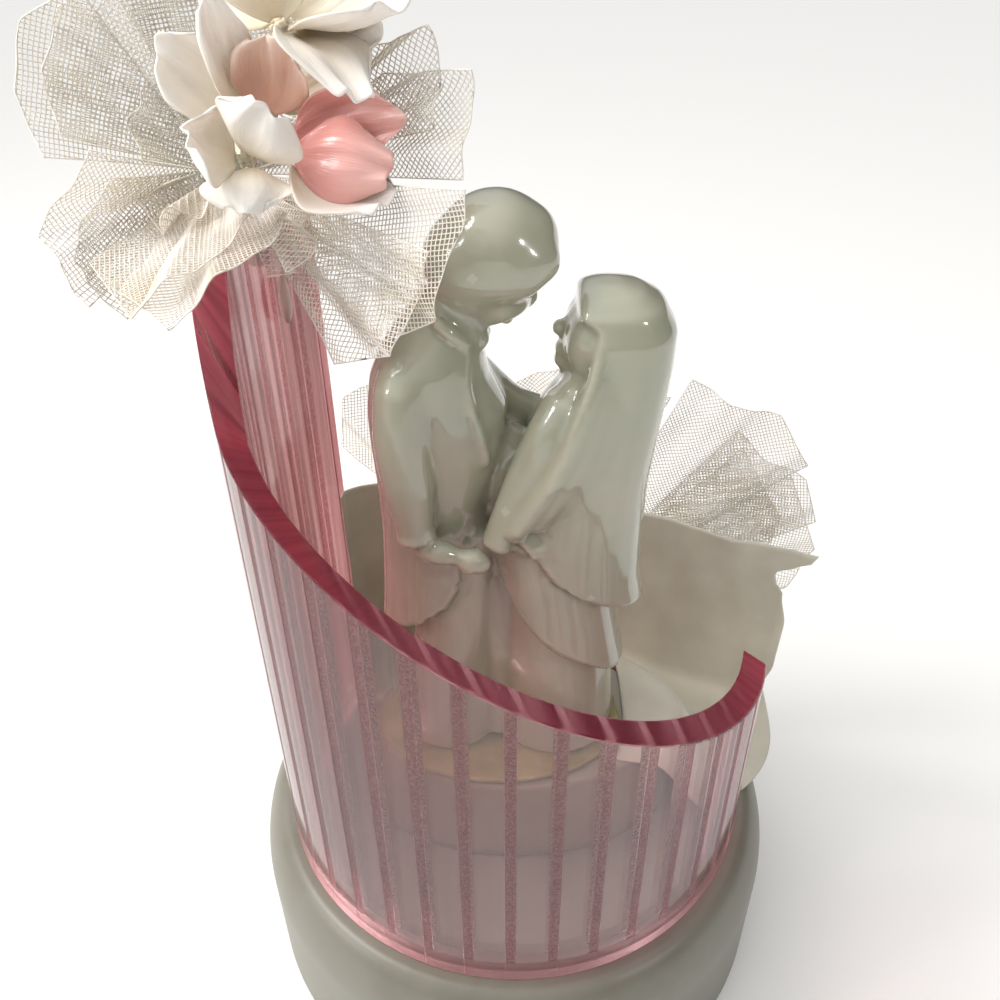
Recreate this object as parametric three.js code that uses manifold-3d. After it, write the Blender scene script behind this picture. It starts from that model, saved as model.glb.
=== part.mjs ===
// Wedding cake topper: a glazed porcelain couple on an oval riser stands inside a curved pink acrylic
// screen on a moulded drum. Tulle and a satin drape close the open back, and flowers crown the tall post.
// Millimetres, +Z up. The origin is the middle of the drum's underside. The viewer is on the -Y side.
import * as THREE from 'three';
import { mergeVertices } from 'three/addons/utils/BufferGeometryUtils.js';
import Module from 'manifold-3d';

const wasm = await Module();
wasm.setup();

// Glue line between pieces that touch
const SEAT = 0.3;

// Drum: a shell open underneath, with a cross of ribs that ends flush with the foot
const DRUM_RADIUS = 57;
const DRUM_HEIGHT = 38;
const DRUM_WALL = 2.5;
const DECK_THICKNESS = 3;
const SHOULDER_WIDTH = 6;
const SHOULDER_DROP = 13;
const RIB_THICKNESS = 2;
const RIB_HUB_RADIUS = 6;

// Riser, an oval block that flares to its foot, and the glue pad on it
const RISER_LENGTH = 62;
const RISER_DEPTH = 37;
const RISER_HEIGHT = 19.7;
const RISER_FLARE = 1.12;
const RISER_EDGE = 1.5;
const PAD_LENGTH = 52;
const PAD_DEPTH = 32;
const PAD_THICKNESS = 1.2;
const PAD_SHIFT_X = -3.5;
const PAD_SHIFT_Y = -1.5;

// Screen: angles in degrees from +X, anticlockwise seen from above
const SCREEN_MARGIN = 1;
const SCREEN_THICKNESS = 5.5;
const SCREEN_TALL_END = 144.5;
const SCREEN_LOW_END = 347;
const POST_HEIGHT = 125;
const POST_HEAD = 186;
const POST_FOOT = 207;
const CUT_HEIGHT = 75.7;
const CUT_SLOPE = 0.607;

// Glue drip on the inner face of the post
const DRIP_FROM_END = 14.5;
const DRIP_DROP = 15;
const DRIP_DEEP = 1.1;
const DRIP_WIDE = 1.8;
const DRIP_TALL = 5;

// Cloth
const NET_THICKNESS = 0.5;
const SATIN_THICKNESS = 0.6;
const PETAL_THICKNESS = 0.6;

// Satin drape: angle, distance outside the screen's outer face, height of the lower and of the upper edge
const DRAPE_PATH = [
  [150, -7.6, 0.3, 62],
  [135, -6.6, 0.3, 59],
  [113.5, -6, 0.3, 56],
  [90, -6.5, 0.3, 52],
  [66, -6, 0.3, 49],
  [45, -3.5, 0.3, 46.5],
  [28.4, 5.5, 0.6, 44.5],
  [20.1, 13.9, 3.5, 45],
  [16.5, 18.8, 6, 47],
];
const DRAPE_FOLDS = 5;
const DRAPE_FOLD_DEPTH = 1.1;
const DRAPE_NOTCH = 0.1;

// Back tulle: its gathered ends stand in a bed of set glue on the deck
const BACK_ANGLE = 81.5;
const BACK_INSET = 1.7;
const BED_LENGTH = 11;
const BED_DEPTH = 4.8;
const BED_HEIGHT = 3.5;
const BACK_LAYER_STEP = 1.1;
const BACK_GATHER_WIDTH = 4;
const BACK_PLEATS = 3;
const BACK_PLEAT_DEPTH = 2.4;

// Bouquet: it leans in over the post, and its bound stems lie against the outer face
const BOUQUET_FROM_END = 12.5;
const BOUQUET_INSET = 3.3;
const BUNDLE_RADIUS = 3;
const BUNDLE_LENGTH = 18;
const BUNDLE_TOP = 2;
const GATHER_RISE = 6;
const GATHER_WIDTH = 2.4;
const GATHER_OFFSET = 0.65;
const TOP_PLEATS = 2;
const TOP_PLEAT_DEPTH = 1.2;
const STEM_RADIUS = 0.7;
const PETAL_ROUNDING = 0.2;

const COLORS = {
  plastic: 0xeceae2,
  porcelain: 0xe6e8de,
  acrylic: 0xd7698b,
  glue: 0xd9c98a,
  clearGlue: 0xe9dcd2,
  net: 0xf2eade,
  satin: 0xf0ebe0,
  pink: 0xe58a90,
  peach: 0xe3b09a,
  tape: 0xdfe0cf,
  wire: 0xb9c2a6,
};

const screenRadius = DRUM_RADIUS - SHOULDER_WIDTH - SCREEN_MARGIN;
const screenInner = screenRadius - SCREEN_THICKNESS;
const dripAngle = SCREEN_TALL_END + DRIP_FROM_END;
const bouquetAngle = SCREEN_TALL_END + BOUQUET_FROM_END;
const riserTop = SEAT + RISER_HEIGHT;
const padBottom = riserTop + SEAT;
const padTop = padBottom + PAD_THICKNESS;

const rad = THREE.MathUtils.degToRad;
const lerp = THREE.MathUtils.lerp;
const clamp = THREE.MathUtils.clamp;
const at = (x, y, z) => new THREE.Vector3(x, y, z);
const polar = (radius, angle, z) => at(radius * Math.cos(rad(angle)), radius * Math.sin(rad(angle)), z);

function surfaceOf(points, index) {
  const geometry = new THREE.BufferGeometry().setFromPoints(points);
  geometry.setIndex(index);
  geometry.computeVertexNormals();
  return geometry;
}

// Closed skin over rings of equal length. Each ring runs anticlockwise about the way the rings advance.
function loft(rings) {
  const count = rings[0].length;
  const points = rings.flat();
  const index = [];
  for (let i = 0; i + 1 < rings.length; i++) {
    for (let j = 0; j < count; j++) {
      const a = i * count + j;
      const b = i * count + (j + 1) % count;
      index.push(a, b, b + count, a, b + count, a + count);
    }
  }
  const last = (rings.length - 1) * count;
  const middleOf = (ring) => ring.reduce((sum, p) => sum.add(p), at(0, 0, 0)).divideScalar(count);
  points.push(middleOf(rings[0]), middleOf(rings.at(-1)));
  for (let j = 0; j < count; j++) {
    const k = (j + 1) % count;
    index.push(points.length - 2, k, j);
    index.push(points.length - 1, last + j, last + k);
  }
  return surfaceOf(points, index);
}

// Closed sheet of even thickness about a surface of two parameters from 0 to 1
function sheet(surface, thickness, across, along) {
  const STEP = 1e-3;
  const points = [];
  for (const side of [0.5, -0.5]) {
    for (let i = 0; i <= along; i++) {
      for (let j = 0; j <= across; j++) {
        const u = i / along;
        const v = j / across;
        const du = surface(u + STEP, v).sub(surface(u - STEP, v));
        const dv = surface(u, v + STEP).sub(surface(u, v - STEP));
        const normal = du.cross(dv).normalize();
        points.push(surface(u, v).addScaledVector(normal, side * thickness));
      }
    }
  }
  const row = across + 1;
  const layer = row * (along + 1);
  const index = [];
  const quad = (a, b, c, d) => index.push(a, b, c, a, c, d);
  for (let i = 0; i < along; i++) {
    for (let j = 0; j < across; j++) {
      const a = i * row + j;
      quad(a, a + row, a + row + 1, a + 1);
      quad(a + layer, a + layer + 1, a + layer + row + 1, a + layer + row);
    }
    const left = i * row;
    const right = left + across;
    quad(left, left + layer, left + layer + row, left + row);
    quad(right, right + row, right + layer + row, right + layer);
  }
  for (let j = 0; j < across; j++) {
    const end = along * row + j;
    quad(j, j + 1, j + 1 + layer, j + layer);
    quad(end, end + layer, end + layer + 1, end + 1);
  }
  return surfaceOf(points, index);
}

// Solid of revolution about +Z from a profile of radius and height
function turned(profile, segments) {
  return new THREE.LatheGeometry(profile, segments).rotateX(Math.PI / 2);
}

// Booleans work on merged triangles without the zero-width ones at a pole
function solid(geometry) {
  const bare = new THREE.BufferGeometry().setAttribute('position', geometry.getAttribute('position'));
  bare.setIndex(geometry.index);
  const merged = mergeVertices(bare, 1e-4);
  const corners = merged.index.array;
  const kept = [];
  for (let i = 0; i < corners.length; i += 3) {
    const [a, b, c] = corners.slice(i, i + 3);
    if (a !== b && b !== c && c !== a) kept.push(a, b, c);
  }
  return new wasm.Manifold(new wasm.Mesh({
    numProp: 3,
    vertProperties: merged.getAttribute('position').array,
    triVerts: new Uint32Array(kept),
  }));
}

function geometryOf(manifold) {
  const mesh = manifold.getMesh();
  const geometry = new THREE.BufferGeometry();
  geometry.setAttribute('position', new THREE.BufferAttribute(mesh.vertProperties, 3));
  geometry.setIndex(new THREE.BufferAttribute(mesh.triVerts, 1));
  geometry.computeVertexNormals();
  return geometry;
}

function piece(parent, name, geometry, color, roughness, look = {}) {
  const material = new THREE.MeshStandardMaterial({ color, roughness, metalness: 0, ...look });
  const mesh = new THREE.Mesh(geometry, material);
  mesh.name = name;
  parent.add(mesh);
  return mesh;
}

// Drum

function domed(radius, bottom, top, width, drop, arcs) {
  const profile = new THREE.Path();
  profile.moveTo(0, bottom);
  profile.lineTo(radius, bottom);
  profile.lineTo(radius, top - drop);
  profile.absellipse(radius - width, top - drop, width, drop, 0, Math.PI / 2, false);
  profile.lineTo(0, top);
  return profile.getPoints(arcs);
}

function drum() {
  const SEGMENTS = 54;
  const BELOW = 1;
  const span = 2 * DRUM_RADIUS;
  const tall = 2 * DRUM_HEIGHT;
  const outer = domed(DRUM_RADIUS, 0, DRUM_HEIGHT, SHOULDER_WIDTH, SHOULDER_DROP, 4);
  const inner = domed(DRUM_RADIUS - DRUM_WALL, -BELOW, DRUM_HEIGHT - DECK_THICKNESS, SHOULDER_WIDTH,
    SHOULDER_DROP - DECK_THICKNESS, 2);
  const hub = new THREE.CylinderGeometry(RIB_HUB_RADIUS, RIB_HUB_RADIUS, tall, 16).rotateX(Math.PI / 2);
  const ribs = solid(new THREE.BoxGeometry(span, RIB_THICKNESS, tall))
    .add(solid(new THREE.BoxGeometry(RIB_THICKNESS, span, tall)))
    .add(solid(hub));
  const hollow = solid(turned(inner, SEGMENTS)).subtract(ribs);
  return geometryOf(solid(turned(outer, SEGMENTS)).subtract(hollow));
}

// Oval blocks: the riser, the glue pad and the bed of the back tulle

function ovalBlock(length, depth, bottom, top, edge, flare) {
  const radius = length / 2;
  const profile = domed(radius, bottom, top, edge, edge, 1);
  profile[1].x = radius * flare;
  return turned(profile, 36).scale(1, depth / length, 1);
}

// Screen

function screenTop(angle) {
  const ramp = CUT_HEIGHT - CUT_SLOPE * screenRadius * Math.cos(rad(angle));
  const climb = THREE.MathUtils.smoothstep(POST_FOOT - angle, 0, POST_FOOT - POST_HEAD);
  return lerp(ramp, POST_HEIGHT, climb);
}

function screen() {
  const STEPS = 84;
  const rings = [];
  for (let i = 0; i <= STEPS; i++) {
    const angle = lerp(SCREEN_TALL_END, SCREEN_LOW_END, i / STEPS);
    const top = screenTop(angle);
    rings.push([
      polar(screenInner, angle, SEAT),
      polar(screenInner, angle, top),
      polar(screenRadius, angle, top),
      polar(screenRadius, angle, SEAT),
    ]);
  }
  return loft(rings);
}

// Porcelain couple, from its own foot: each form is a stack of ovals, a limb or a ball, all joined to one
// casting. An oval is [z, x, y, half width, half depth], and squareness 2 makes it an ellipse.

function stack(ovals, squareness = 2) {
  const SIDES = 24;
  const bulge = (t) => Math.sign(t) * Math.abs(t) ** (2 / squareness);
  return solid(loft(ovals.map(([z, x, y, a, b]) => {
    const ring = [];
    for (let j = 0; j < SIDES; j++) {
      const turn = (2 * Math.PI * j) / SIDES;
      ring.push(at(x + a * bulge(Math.cos(turn)), y + b * bulge(Math.sin(turn)), z));
    }
    return ring;
  })));
}

function limb(route, radii, sides, steps) {
  const curve = new THREE.CatmullRomCurve3(route.map((p) => at(...p)));
  const frames = curve.computeFrenetFrames(steps, false);
  const rings = [];
  for (let i = 0; i <= steps; i++) {
    const place = (i / steps) * (radii.length - 1);
    const k = Math.min(Math.floor(place), radii.length - 2);
    const radius = lerp(radii[k], radii[k + 1], place - k);
    const middle = curve.getPoint(i / steps);
    const ring = [];
    for (let j = 0; j < sides; j++) {
      const turn = (2 * Math.PI * j) / sides;
      const out = frames.normals[i].clone().multiplyScalar(radius * Math.cos(turn));
      out.addScaledVector(frames.binormals[i], radius * Math.sin(turn));
      ring.push(out.add(middle));
    }
    rings.push(ring);
  }
  return loft(rings);
}

const arm = (route, radii) => solid(limb(route, radii, 12, 9));

function ball([x, y, z], [a, b, c], tilt = 0, sides = 12) {
  const geometry = new THREE.SphereGeometry(1, sides, sides * 0.7).rotateX(Math.PI / 2).scale(a, b, c);
  return solid(geometry.rotateY(rad(tilt)).translate(x, y, z));
}

// Everything inside a side-view outline of x and z
function sideView(outline) {
  const DEPTH = 80;
  const shape = new THREE.Shape(outline.map(([x, z]) => new THREE.Vector2(x, z)));
  const geometry = new THREE.ExtrudeGeometry(shape, { depth: DEPTH, bevelEnabled: false });
  return solid(geometry.rotateX(Math.PI / 2).translate(0, DEPTH / 2, 0));
}

function groom() {
  const nearLeg = stack([
    [0, -13.5, -4, 8.6, 6.6],
    [15, -13, -4, 8.2, 6.2],
    [36, -11.4, -3.8, 8, 5.9],
    [53, -9, -3.4, 6, 5],
  ]);
  const farLeg = stack([[0, -9.5, 4.5, 8.2, 6.6], [15, -9.5, 4.5, 7.8, 6.3], [36, -9.5, 4, 8.2, 6.6]]);
  const coatEdge = sideView([
    [-30, 26.5], [-24, 29], [-18, 32.5], [-12.5, 37], [-10.6, 41], [-9.8, 47], [-6, 53], [4, 58], [4, 110],
    [-30, 110],
  ]);
  const coat = stack([
    [25, -15.6, 0, 10.4, 10],
    [38, -15.3, 0, 10.1, 9.6],
    [50, -14.5, 0, 10.4, 9.6],
    [60, -13.8, 0, 11.3, 10],
    [70, -13.4, 0, 12.2, 10.8],
    [76, -13.5, 0, 12.1, 11.2],
    [82, -14.5, 0, 10.2, 11.4],
    [86.3, -14, 0, 9, 10.8],
    [89.5, -13, 0, 8.2, 9.2],
    [92, -12, 0, 7.4, 7.6],
    [95, -10.8, 0, 6, 6],
    [100, -8.4, 0, 5, 5],
  ]).intersect(coatEdge);
  const collar = new THREE.TorusGeometry(5.4, 1.3, 8, 20).rotateY(rad(16)).translate(-10, 0, 92);
  const lapel = arm([[-7.8, -6.2, 90], [-8, -8.2, 85], [-7.2, -9, 80], [-5.6, -8.6, 74], [-4.6, -8, 68]],
    [0.9, 1, 1, 0.9, 0.7]);
  const brim = sideView([[-20, 90.5], [-11, 95.5], [4.3, 99.2], [9, 100.6], [12, 120], [-20, 120]]);
  const hair = ball([-2.9, 0, 103.6], [10, 9.2, 9.6], 12, 20).intersect(brim)
    .subtract(ball([-0.4, -10, 97], [9, 4.2, 6.5], 0, 16))
    .subtract(ball([-0.4, 10, 97], [9, 4.2, 6.5], 0, 16));
  const face = ball([-2.4, 0, 96.8], [5.2, 6.2, 6.4], 24, 18);
  const nose = ball([1.8, 0, 96.2], [1.3, 1.1, 1.6], 10);
  const lips = ball([0.2, 0, 93.8], [1.6, 2.2, 1], 30);
  const chin = ball([-1.2, 0, 92.4], [2, 2.4, 1.5], 30);
  const nearShoulder = ball([-17.6, -6.6, 83], [5.4, 5.2, 5.4]);
  const nearArm = arm([[-18, -7, 83], [-18.8, -9.6, 74.5], [-18, -11.4, 66], [-17.2, -12.4, 57.5]],
    [5.2, 4.9, 4.4, 3.2]);
  const cuff = ball([-17.1, -12.4, 57], [3.9, 3.9, 1.4], -10);
  const nearHand = ball([-13.4, -13.4, 53.8], [4.8, 2.5, 2.3], 14);
  const farArm = arm([[-9, 5, 80], [-4.9, 7, 74.5], [-1, 8, 70.5], [4.4, 9, 67.8], [14, 6, 66]],
    [4.6, 4.4, 4.2, 4, 3.6]);
  return [nearLeg, farLeg, coat, solid(collar), lapel, hair, face, nose, lips, chin, nearShoulder, nearArm,
    cuff, nearHand, farArm];
}

function bride() {
  const FULL = 2.6;
  const skirt = stack([
    [0, 8.6, 0, 12.6, 11.6],
    [12, 8.5, 0, 12, 11.2],
    [30, 8.2, 0, 11.6, 10.8],
    [48, 7.6, -0.5, 9.6, 9.4],
  ]);
  const tierEdge = sideView([
    [-8, 52], [-4.6, 49.7], [-2, 43.5], [0.8, 37.4], [4.4, 32], [8.6, 27.7], [14.6, 24.4], [22.1, 18.7],
    [28, 15], [28, 60], [-8, 60],
  ]);
  const tier = stack([
    [12, 10, -0.8, 12.6, 12.2],
    [20.5, 9.8, -0.8, 11.8, 12.2],
    [28, 9.2, -0.8, 11.2, 12.2],
    [40, 7.8, -0.8, 11, 12.2],
    [52, 6.2, -0.8, 10.4, 11.8],
  ], FULL).intersect(tierEdge);
  const bodice = stack([
    [44, 7.8, -0.5, 7.4, 8],
    [56, 8.2, -0.5, 7.4, 8.2],
    [68, 9.4, 0, 7.6, 8.4],
    [76, 10.8, 0, 7, 8],
    [81, 12, 0, 5, 5.4],
    [90, 12.6, 0, 4.2, 4.4],
  ]);
  const veilEdge = sideView([
    [11.6, 104], [11, 99], [9.7, 96.5], [9.8, 95], [13.2, 93.5], [13, 88], [11.6, 83], [10.4, 79.4],
    [7.4, 71.5], [0.2, 59.4], [-1, 57.3], [2.5, 53], [7.5, 45.7], [12.5, 42], [17.7, 39.8], [23.8, 36.9],
    [32, 35], [32, 104],
  ]);
  const veil = stack([
    [33, 13.2, -0.5, 11.6, 11.8],
    [43, 12.3, -0.7, 11.3, 12.4],
    [53, 11.6, -0.8, 11.8, 12.6],
    [63.6, 11.8, -0.7, 11.8, 12.4],
    [74, 13.4, -0.5, 11.4, 11.8],
    [84.8, 15.4, -0.2, 10.7, 10.6],
    [91.5, 15.8, 0, 10.5, 9.8],
    [95.5, 15.4, 0, 8.6, 8.2],
    [97.6, 15, 0, 5.6, 5.4],
    [98.6, 14.6, 0, 2.4, 2.4],
  ], FULL).intersect(veilEdge);
  const veilRoll = arm(
    [[13.6, -8.2, 92], [12.8, -9.8, 86], [10.8, -11.4, 79.4], [7.8, -12.6, 71.5], [4, -13.2, 64.5],
      [0, -13.4, 58.4]],
    [1, 1.6, 2, 2, 1.9, 1.6],
  );
  const face = ball([11.8, 0, 89.2], [4.4, 5.2, 7], 12, 18);
  const nose = ball([7.5, 0, 90.6], [1.2, 1, 1.3], 12);
  const lips = ball([7.6, 0, 87], [1.2, 1.7, 1.2]);
  const chin = ball([8.8, 0, 84.4], [1.9, 2.2, 1.8]);
  const shoulder = ball([10.4, -5.4, 79.6], [4.8, 4.6, 4.8]);
  const nearArm = arm([[9.4, -6, 80], [6.4, -7.6, 75], [2.8, -8.8, 67], [-0.5, -10.4, 60], [-3.6, -12.6, 54]],
    [4.6, 4.5, 4.2, 3.6, 2.8]);
  const hand = ball([-7.2, -13.8, 52], [3.4, 2.5, 2.5], 25);
  return [skirt, tier, bodice, veil, veilRoll, face, nose, lips, chin, shoulder, nearArm, hand];
}

function couple() {
  return geometryOf([...groom(), ...bride()].reduce((whole, form) => whole.add(form)));
}

// Cloth

function drape() {
  const foot = new THREE.CatmullRomCurve3(
    DRAPE_PATH.map(([angle, out, low]) => polar(screenRadius + out, angle, low)));
  const rim = new THREE.CatmullRomCurve3(
    DRAPE_PATH.map(([angle, out, , high]) => polar(screenRadius + out, angle, high)));
  const surface = (u, v) => {
    const recess = DRAPE_NOTCH * u * clamp(6 * (1 - u), 0, 1);
    const place = clamp(v * (1 - recess), 0, 1);
    const p = foot.getPoint(place).lerp(rim.getPoint(place), u);
    const tangent = foot.getTangent(place);
    const wave = DRAPE_FOLD_DEPTH * u * Math.sin(2 * Math.PI * DRAPE_FOLDS * place);
    return p.add(at(-tangent.y * wave, tangent.x * wave, 0));
  };
  return sheet(surface, SATIN_THICKNESS, 32, 6);
}

// Net gathered at one place and spread to a hem with corners, with pleats that deepen outwards
function gatheredNet(start, line, hem, pleats, depth) {
  const corners = hem.map((p) => at(...p));
  const sides = corners.length - 1;
  const hemPoint = (v) => {
    const k = clamp(Math.floor(v * sides), 0, sides - 1);
    return corners[k].clone().lerp(corners[k + 1], v * sides - k);
  };
  const spread = corners.at(-1).clone().sub(corners[0]);
  const middle = corners[0].clone().add(corners.at(-1)).multiplyScalar(0.5);
  const normal = middle.clone().sub(start).cross(spread).normalize();
  const surface = (u, v) => {
    const p = start.clone().lerp(middle, u);
    p.addScaledVector(line, (v - 0.5) * (1 - u));
    p.addScaledVector(hemPoint(v).sub(middle), Math.abs(u) ** 1.2);
    return p.addScaledVector(normal, depth * u * Math.sin(2 * Math.PI * pleats * v));
  };
  return sheet(surface, NET_THICKNESS, 6 * sides, 4);
}

// Petal from its root to its tip, cupped and bowed towards a direction
function petal(root, tip, towards, width, cup, bow) {
  const along = tip.clone().sub(root);
  const side = along.clone().cross(towards).normalize();
  const normal = side.clone().cross(along).normalize();
  const surface = (u, v) => {
    const w = 2 * v - 1;
    const half = (width / 2) * Math.sin(Math.PI * (0.03 + 0.82 * u)) ** 0.7;
    const lift = cup * w * w * Math.sin(Math.PI * (0.04 + 0.86 * u)) - bow * Math.sin(Math.PI * u);
    const p = root.clone().addScaledVector(along, u * (1 - PETAL_ROUNDING * w * w));
    return p.addScaledVector(side, half * w).addScaledVector(normal, lift);
  };
  return sheet(surface, PETAL_THICKNESS, 6, 5);
}

// Assembly

const topper = new THREE.Group();
piece(topper, 'base_drum', drum(), COLORS.plastic, 0.45);

const deck = new THREE.Group();
deck.position.z = DRUM_HEIGHT;
topper.add(deck);
piece(deck, 'couple_riser', ovalBlock(RISER_LENGTH, RISER_DEPTH, SEAT, riserTop, RISER_EDGE, RISER_FLARE),
  COLORS.plastic, 0.5);
piece(deck, 'glue_pad', ovalBlock(PAD_LENGTH, PAD_DEPTH, padBottom, padTop, PAD_THICKNESS / 2, 1),
  COLORS.glue, 0.4).position.set(PAD_SHIFT_X, PAD_SHIFT_Y, 0);
piece(deck, 'porcelain_couple', couple(), COLORS.porcelain, 0.12).position.z = padTop + SEAT;
piece(deck, 'acrylic_screen', screen(), COLORS.acrylic, 0.08, { transparent: true, opacity: 0.5 });

const bead = new THREE.SphereGeometry(1, 10, 8).rotateX(Math.PI / 2).scale(DRIP_DEEP, DRIP_WIDE, DRIP_TALL);
const drip = piece(deck, 'glue_drip', bead, COLORS.clearGlue, 0.2);
drip.position.copy(polar(screenInner - SEAT - DRIP_DEEP, dripAngle, POST_HEIGHT - DRIP_DROP));
drip.rotation.z = rad(dripAngle);

piece(deck, 'satin_drape', drape(), COLORS.satin, 0.45);

// Back tulle, from the middle of its glue bed: the layers stand one behind the other
const back = new THREE.Group();
back.position.copy(polar(screenRadius - BACK_INSET, BACK_ANGLE, SEAT));
deck.add(back);
piece(back, 'back_tulle_glue', ovalBlock(BED_LENGTH, BED_DEPTH, 0, BED_HEIGHT, 1, 1), COLORS.clearGlue, 0.3);
const backNets = [
  ['back_tulle_right', [[32, -1.8, 75.6], [41, -2.8, 70], [52.6, -3.8, 67.3], [60, -5.8, 55.6]]],
  ['back_tulle_low', [[58, -1, 50], [66.8, -4, 29], [61, -4.5, 17]]],
  ['back_tulle_left', [[-47.6, -1.8, 58], [-46, -1.4, 71], [-29, 0.6, 77]]],
  ['back_tulle_middle', [[-7, 2.2, 72.5], [6, 2.2, 78.4], [21, 1.6, 76]]],
];
backNets.forEach(([name, hem], layer) => {
  const gather = at(0, BACK_LAYER_STEP * (layer - (backNets.length - 1) / 2), BED_HEIGHT + 2 * SEAT);
  const net = gatheredNet(gather, at(BACK_GATHER_WIDTH, 0, 0), hem, BACK_PLEATS, BACK_PLEAT_DEPTH);
  piece(back, name, net, COLORS.net, 0.8);
});

// Bouquet: heights count from the level where its nets are gathered
const bouquet = new THREE.Group();
bouquet.position.copy(polar(screenInner - BOUQUET_INSET, bouquetAngle, POST_HEIGHT + GATHER_RISE));
deck.add(bouquet);
const bound = polar(BOUQUET_INSET + SCREEN_THICKNESS + SEAT + BUNDLE_RADIUS, bouquetAngle, 0);
const bundle = new THREE.CylinderGeometry(BUNDLE_RADIUS, BUNDLE_RADIUS * 0.8, BUNDLE_LENGTH, 14)
  .rotateX(Math.PI / 2);
const tape = piece(bouquet, 'floral_tape', bundle, COLORS.tape, 0.7);
tape.position.set(bound.x, bound.y, BUNDLE_TOP - BUNDLE_LENGTH / 2);
const topNets = [
  ['top_tulle_left', 205, [[-25.1, -16.1, 9.9], [-33.4, -21.1, -1.6], [-27.8, -23.1, -11.9]]],
  ['top_tulle_front', 255, [[-23, -25.3, -7.4], [-10.4, -39.1, -7.3], [-2.6, -32.1, -2.6], [4.5, -22.1, 2]]],
  ['top_tulle_low_right', 305, [[15.8, -25.1, -17.7], [26, -32.1, -9.6], [30.7, -30.1, 8.8]]],
  ['top_tulle_right', 352, [[30.2, -20.1, 6.8], [31.7, -16.1, 20.8], [18, -6, 18]]],
  ['top_tulle_high_left', 158, [[-27, -2, 30], [-35.4, -4.1, 25.2], [-38.4, -6.1, 15.8], [-35.7, -8.1, 6.3]]],
  ['top_tulle_back', 100, [[12, 20, 28], [-3, 19, 34], [-15.9, 13, 33.4], [-24.9, 5, 29]]],
];
for (const [name, angle, hem] of topNets) {
  const gather = polar(BUNDLE_RADIUS + GATHER_OFFSET, angle, 0).add(bound);
  const net = gatheredNet(gather, polar(GATHER_WIDTH, angle + 90, 0), hem, TOP_PLEATS, TOP_PLEAT_DEPTH);
  piece(bouquet, name, net, COLORS.net, 0.8);
}

// Flowers: an eye on a wire stem, and petals of [name, root, tip, towards, width, cup, bow, color].
// A root gives the side of the eye where the petal is seated.
const UP = [0, 0, 1];
const FRONT = [0, -1, 0.3];
const LEFT = [-1, -0.3, 0.3];
const flowers = [
  {
    name: 'blossom', eye: [4, -7, 24], size: 2, stem: [0.9, 0.9],
    petals: [
      ['cream', [7.6, -9, 26.5], [23, -14, 29], UP, 15, 2.2, 1.5, COLORS.satin],
      ['veined', [6.5, -11.5, 24.5], [17, -22.5, 18.5], [0.6, -0.5, 0.8], 10, 1.2, -1.2, COLORS.satin],
      ['high', [3.6, -8.6, 27], [2, -12, 39], FRONT, 10, 2, 1.2, COLORS.satin],
      ['back_left', [1.4, -4.6, 25.5], [-7, 5, 34], [-0.3, -0.6, 0.8], 12, 2, 1.5, COLORS.satin],
      ['back_right', [6.4, -4.6, 26], [17, 4, 33], [0.3, -0.6, 0.8], 12, 2, 1.5, COLORS.satin],
    ],
  },
  {
    name: 'peach', eye: [0.6, -10.6, 13.4], size: 1.7, stem: [-0.9, 0.9],
    petals: [
      ['inner', [2.4, -13.4, 15], [4.4, -16, 25.4], FRONT, 11, 1.4, 1, COLORS.peach],
      ['narrow', [-3.8, -13.6, 15.4], [-3.8, -16.6, 31], [0.5, -1, 0.2], 6.5, 1.4, 1, COLORS.satin],
      ['left', [-2.6, -11.4, 14.4], [-13, -13, 24], [0, -1, 0.5], 10, 1.4, 1.2, COLORS.satin],
      ['right', [3.6, -10.4, 15.8], [18.5, -10.2, 25], [-0.4, -1, 0.6], 9, 1, 1, COLORS.satin],
    ],
  },
  {
    name: 'cup', eye: [5, -16.2, 9.8], size: 1.5, stem: [0.9, -0.9],
    petals: [
      ['lower', [7, -18.2, 9.6], [21, -23.8, 9], [-0.1, -0.5, 1], 13, 3, 1.4, COLORS.pink],
      ['upper', [6.2, -14.4, 14.6], [21.8, -15.6, 20.2], [0.1, -1, -0.3], 7, 1.2, 1, COLORS.pink],
      ['outer', [6.4, -18, 7.6], [20, -24.4, 5], [-0.1, -0.5, 1], 14, 3.2, 1.4, COLORS.satin],
    ],
  },
  {
    name: 'bud', eye: [-1, -19.4, 9.6], size: 1.4, stem: [-0.9, -0.9],
    petals: [
      ['left', [-2.6, -20.8, 9.8], [-7, -25, 15], LEFT, 9, -1.6, -1.4, COLORS.satin],
      ['top', [0.2, -21.2, 11.2], [4, -24.6, 18.6], FRONT, 9, -1.4, -1.4, COLORS.satin],
      ['low', [0, -21.4, 8.4], [-0.6, -26.6, 4.8], [0, -0.6, 1], 9, -1.2, -1.2, COLORS.satin],
    ],
  },
];
for (const { name, eye, size, stem, petals } of flowers) {
  const center = at(...eye);
  const globe = new THREE.SphereGeometry(size, 10, 7).rotateX(Math.PI / 2);
  piece(bouquet, `${name}_eye`, globe, COLORS.satin, 0.5).position.copy(center);
  const low = at(...stem, BUNDLE_TOP + SEAT + STEM_RADIUS / 2).add(bound);
  const bend = low.clone().lerp(center, 0.45).add(at(0, 1.5, 2.5));
  const reach = center.clone().sub(bend).setLength(size + SEAT);
  const top = center.clone().sub(reach);
  const route = [low, bend, top].map((p) => p.toArray());
  piece(bouquet, `${name}_stem`, limb(route, [STEM_RADIUS, STEM_RADIUS], 6, 6), COLORS.wire, 0.5);
  for (const [part, root, tip, towards, width, cup, bow, color] of petals) {
    const seat = at(...root).sub(center).setLength(size + SEAT + PETAL_THICKNESS / 4).add(center);
    const form = petal(seat, at(...tip), at(...towards), width, cup, bow);
    piece(bouquet, `${name}_petal_${part}`, form, color, 0.4);
  }
}

export default topper;
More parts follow.
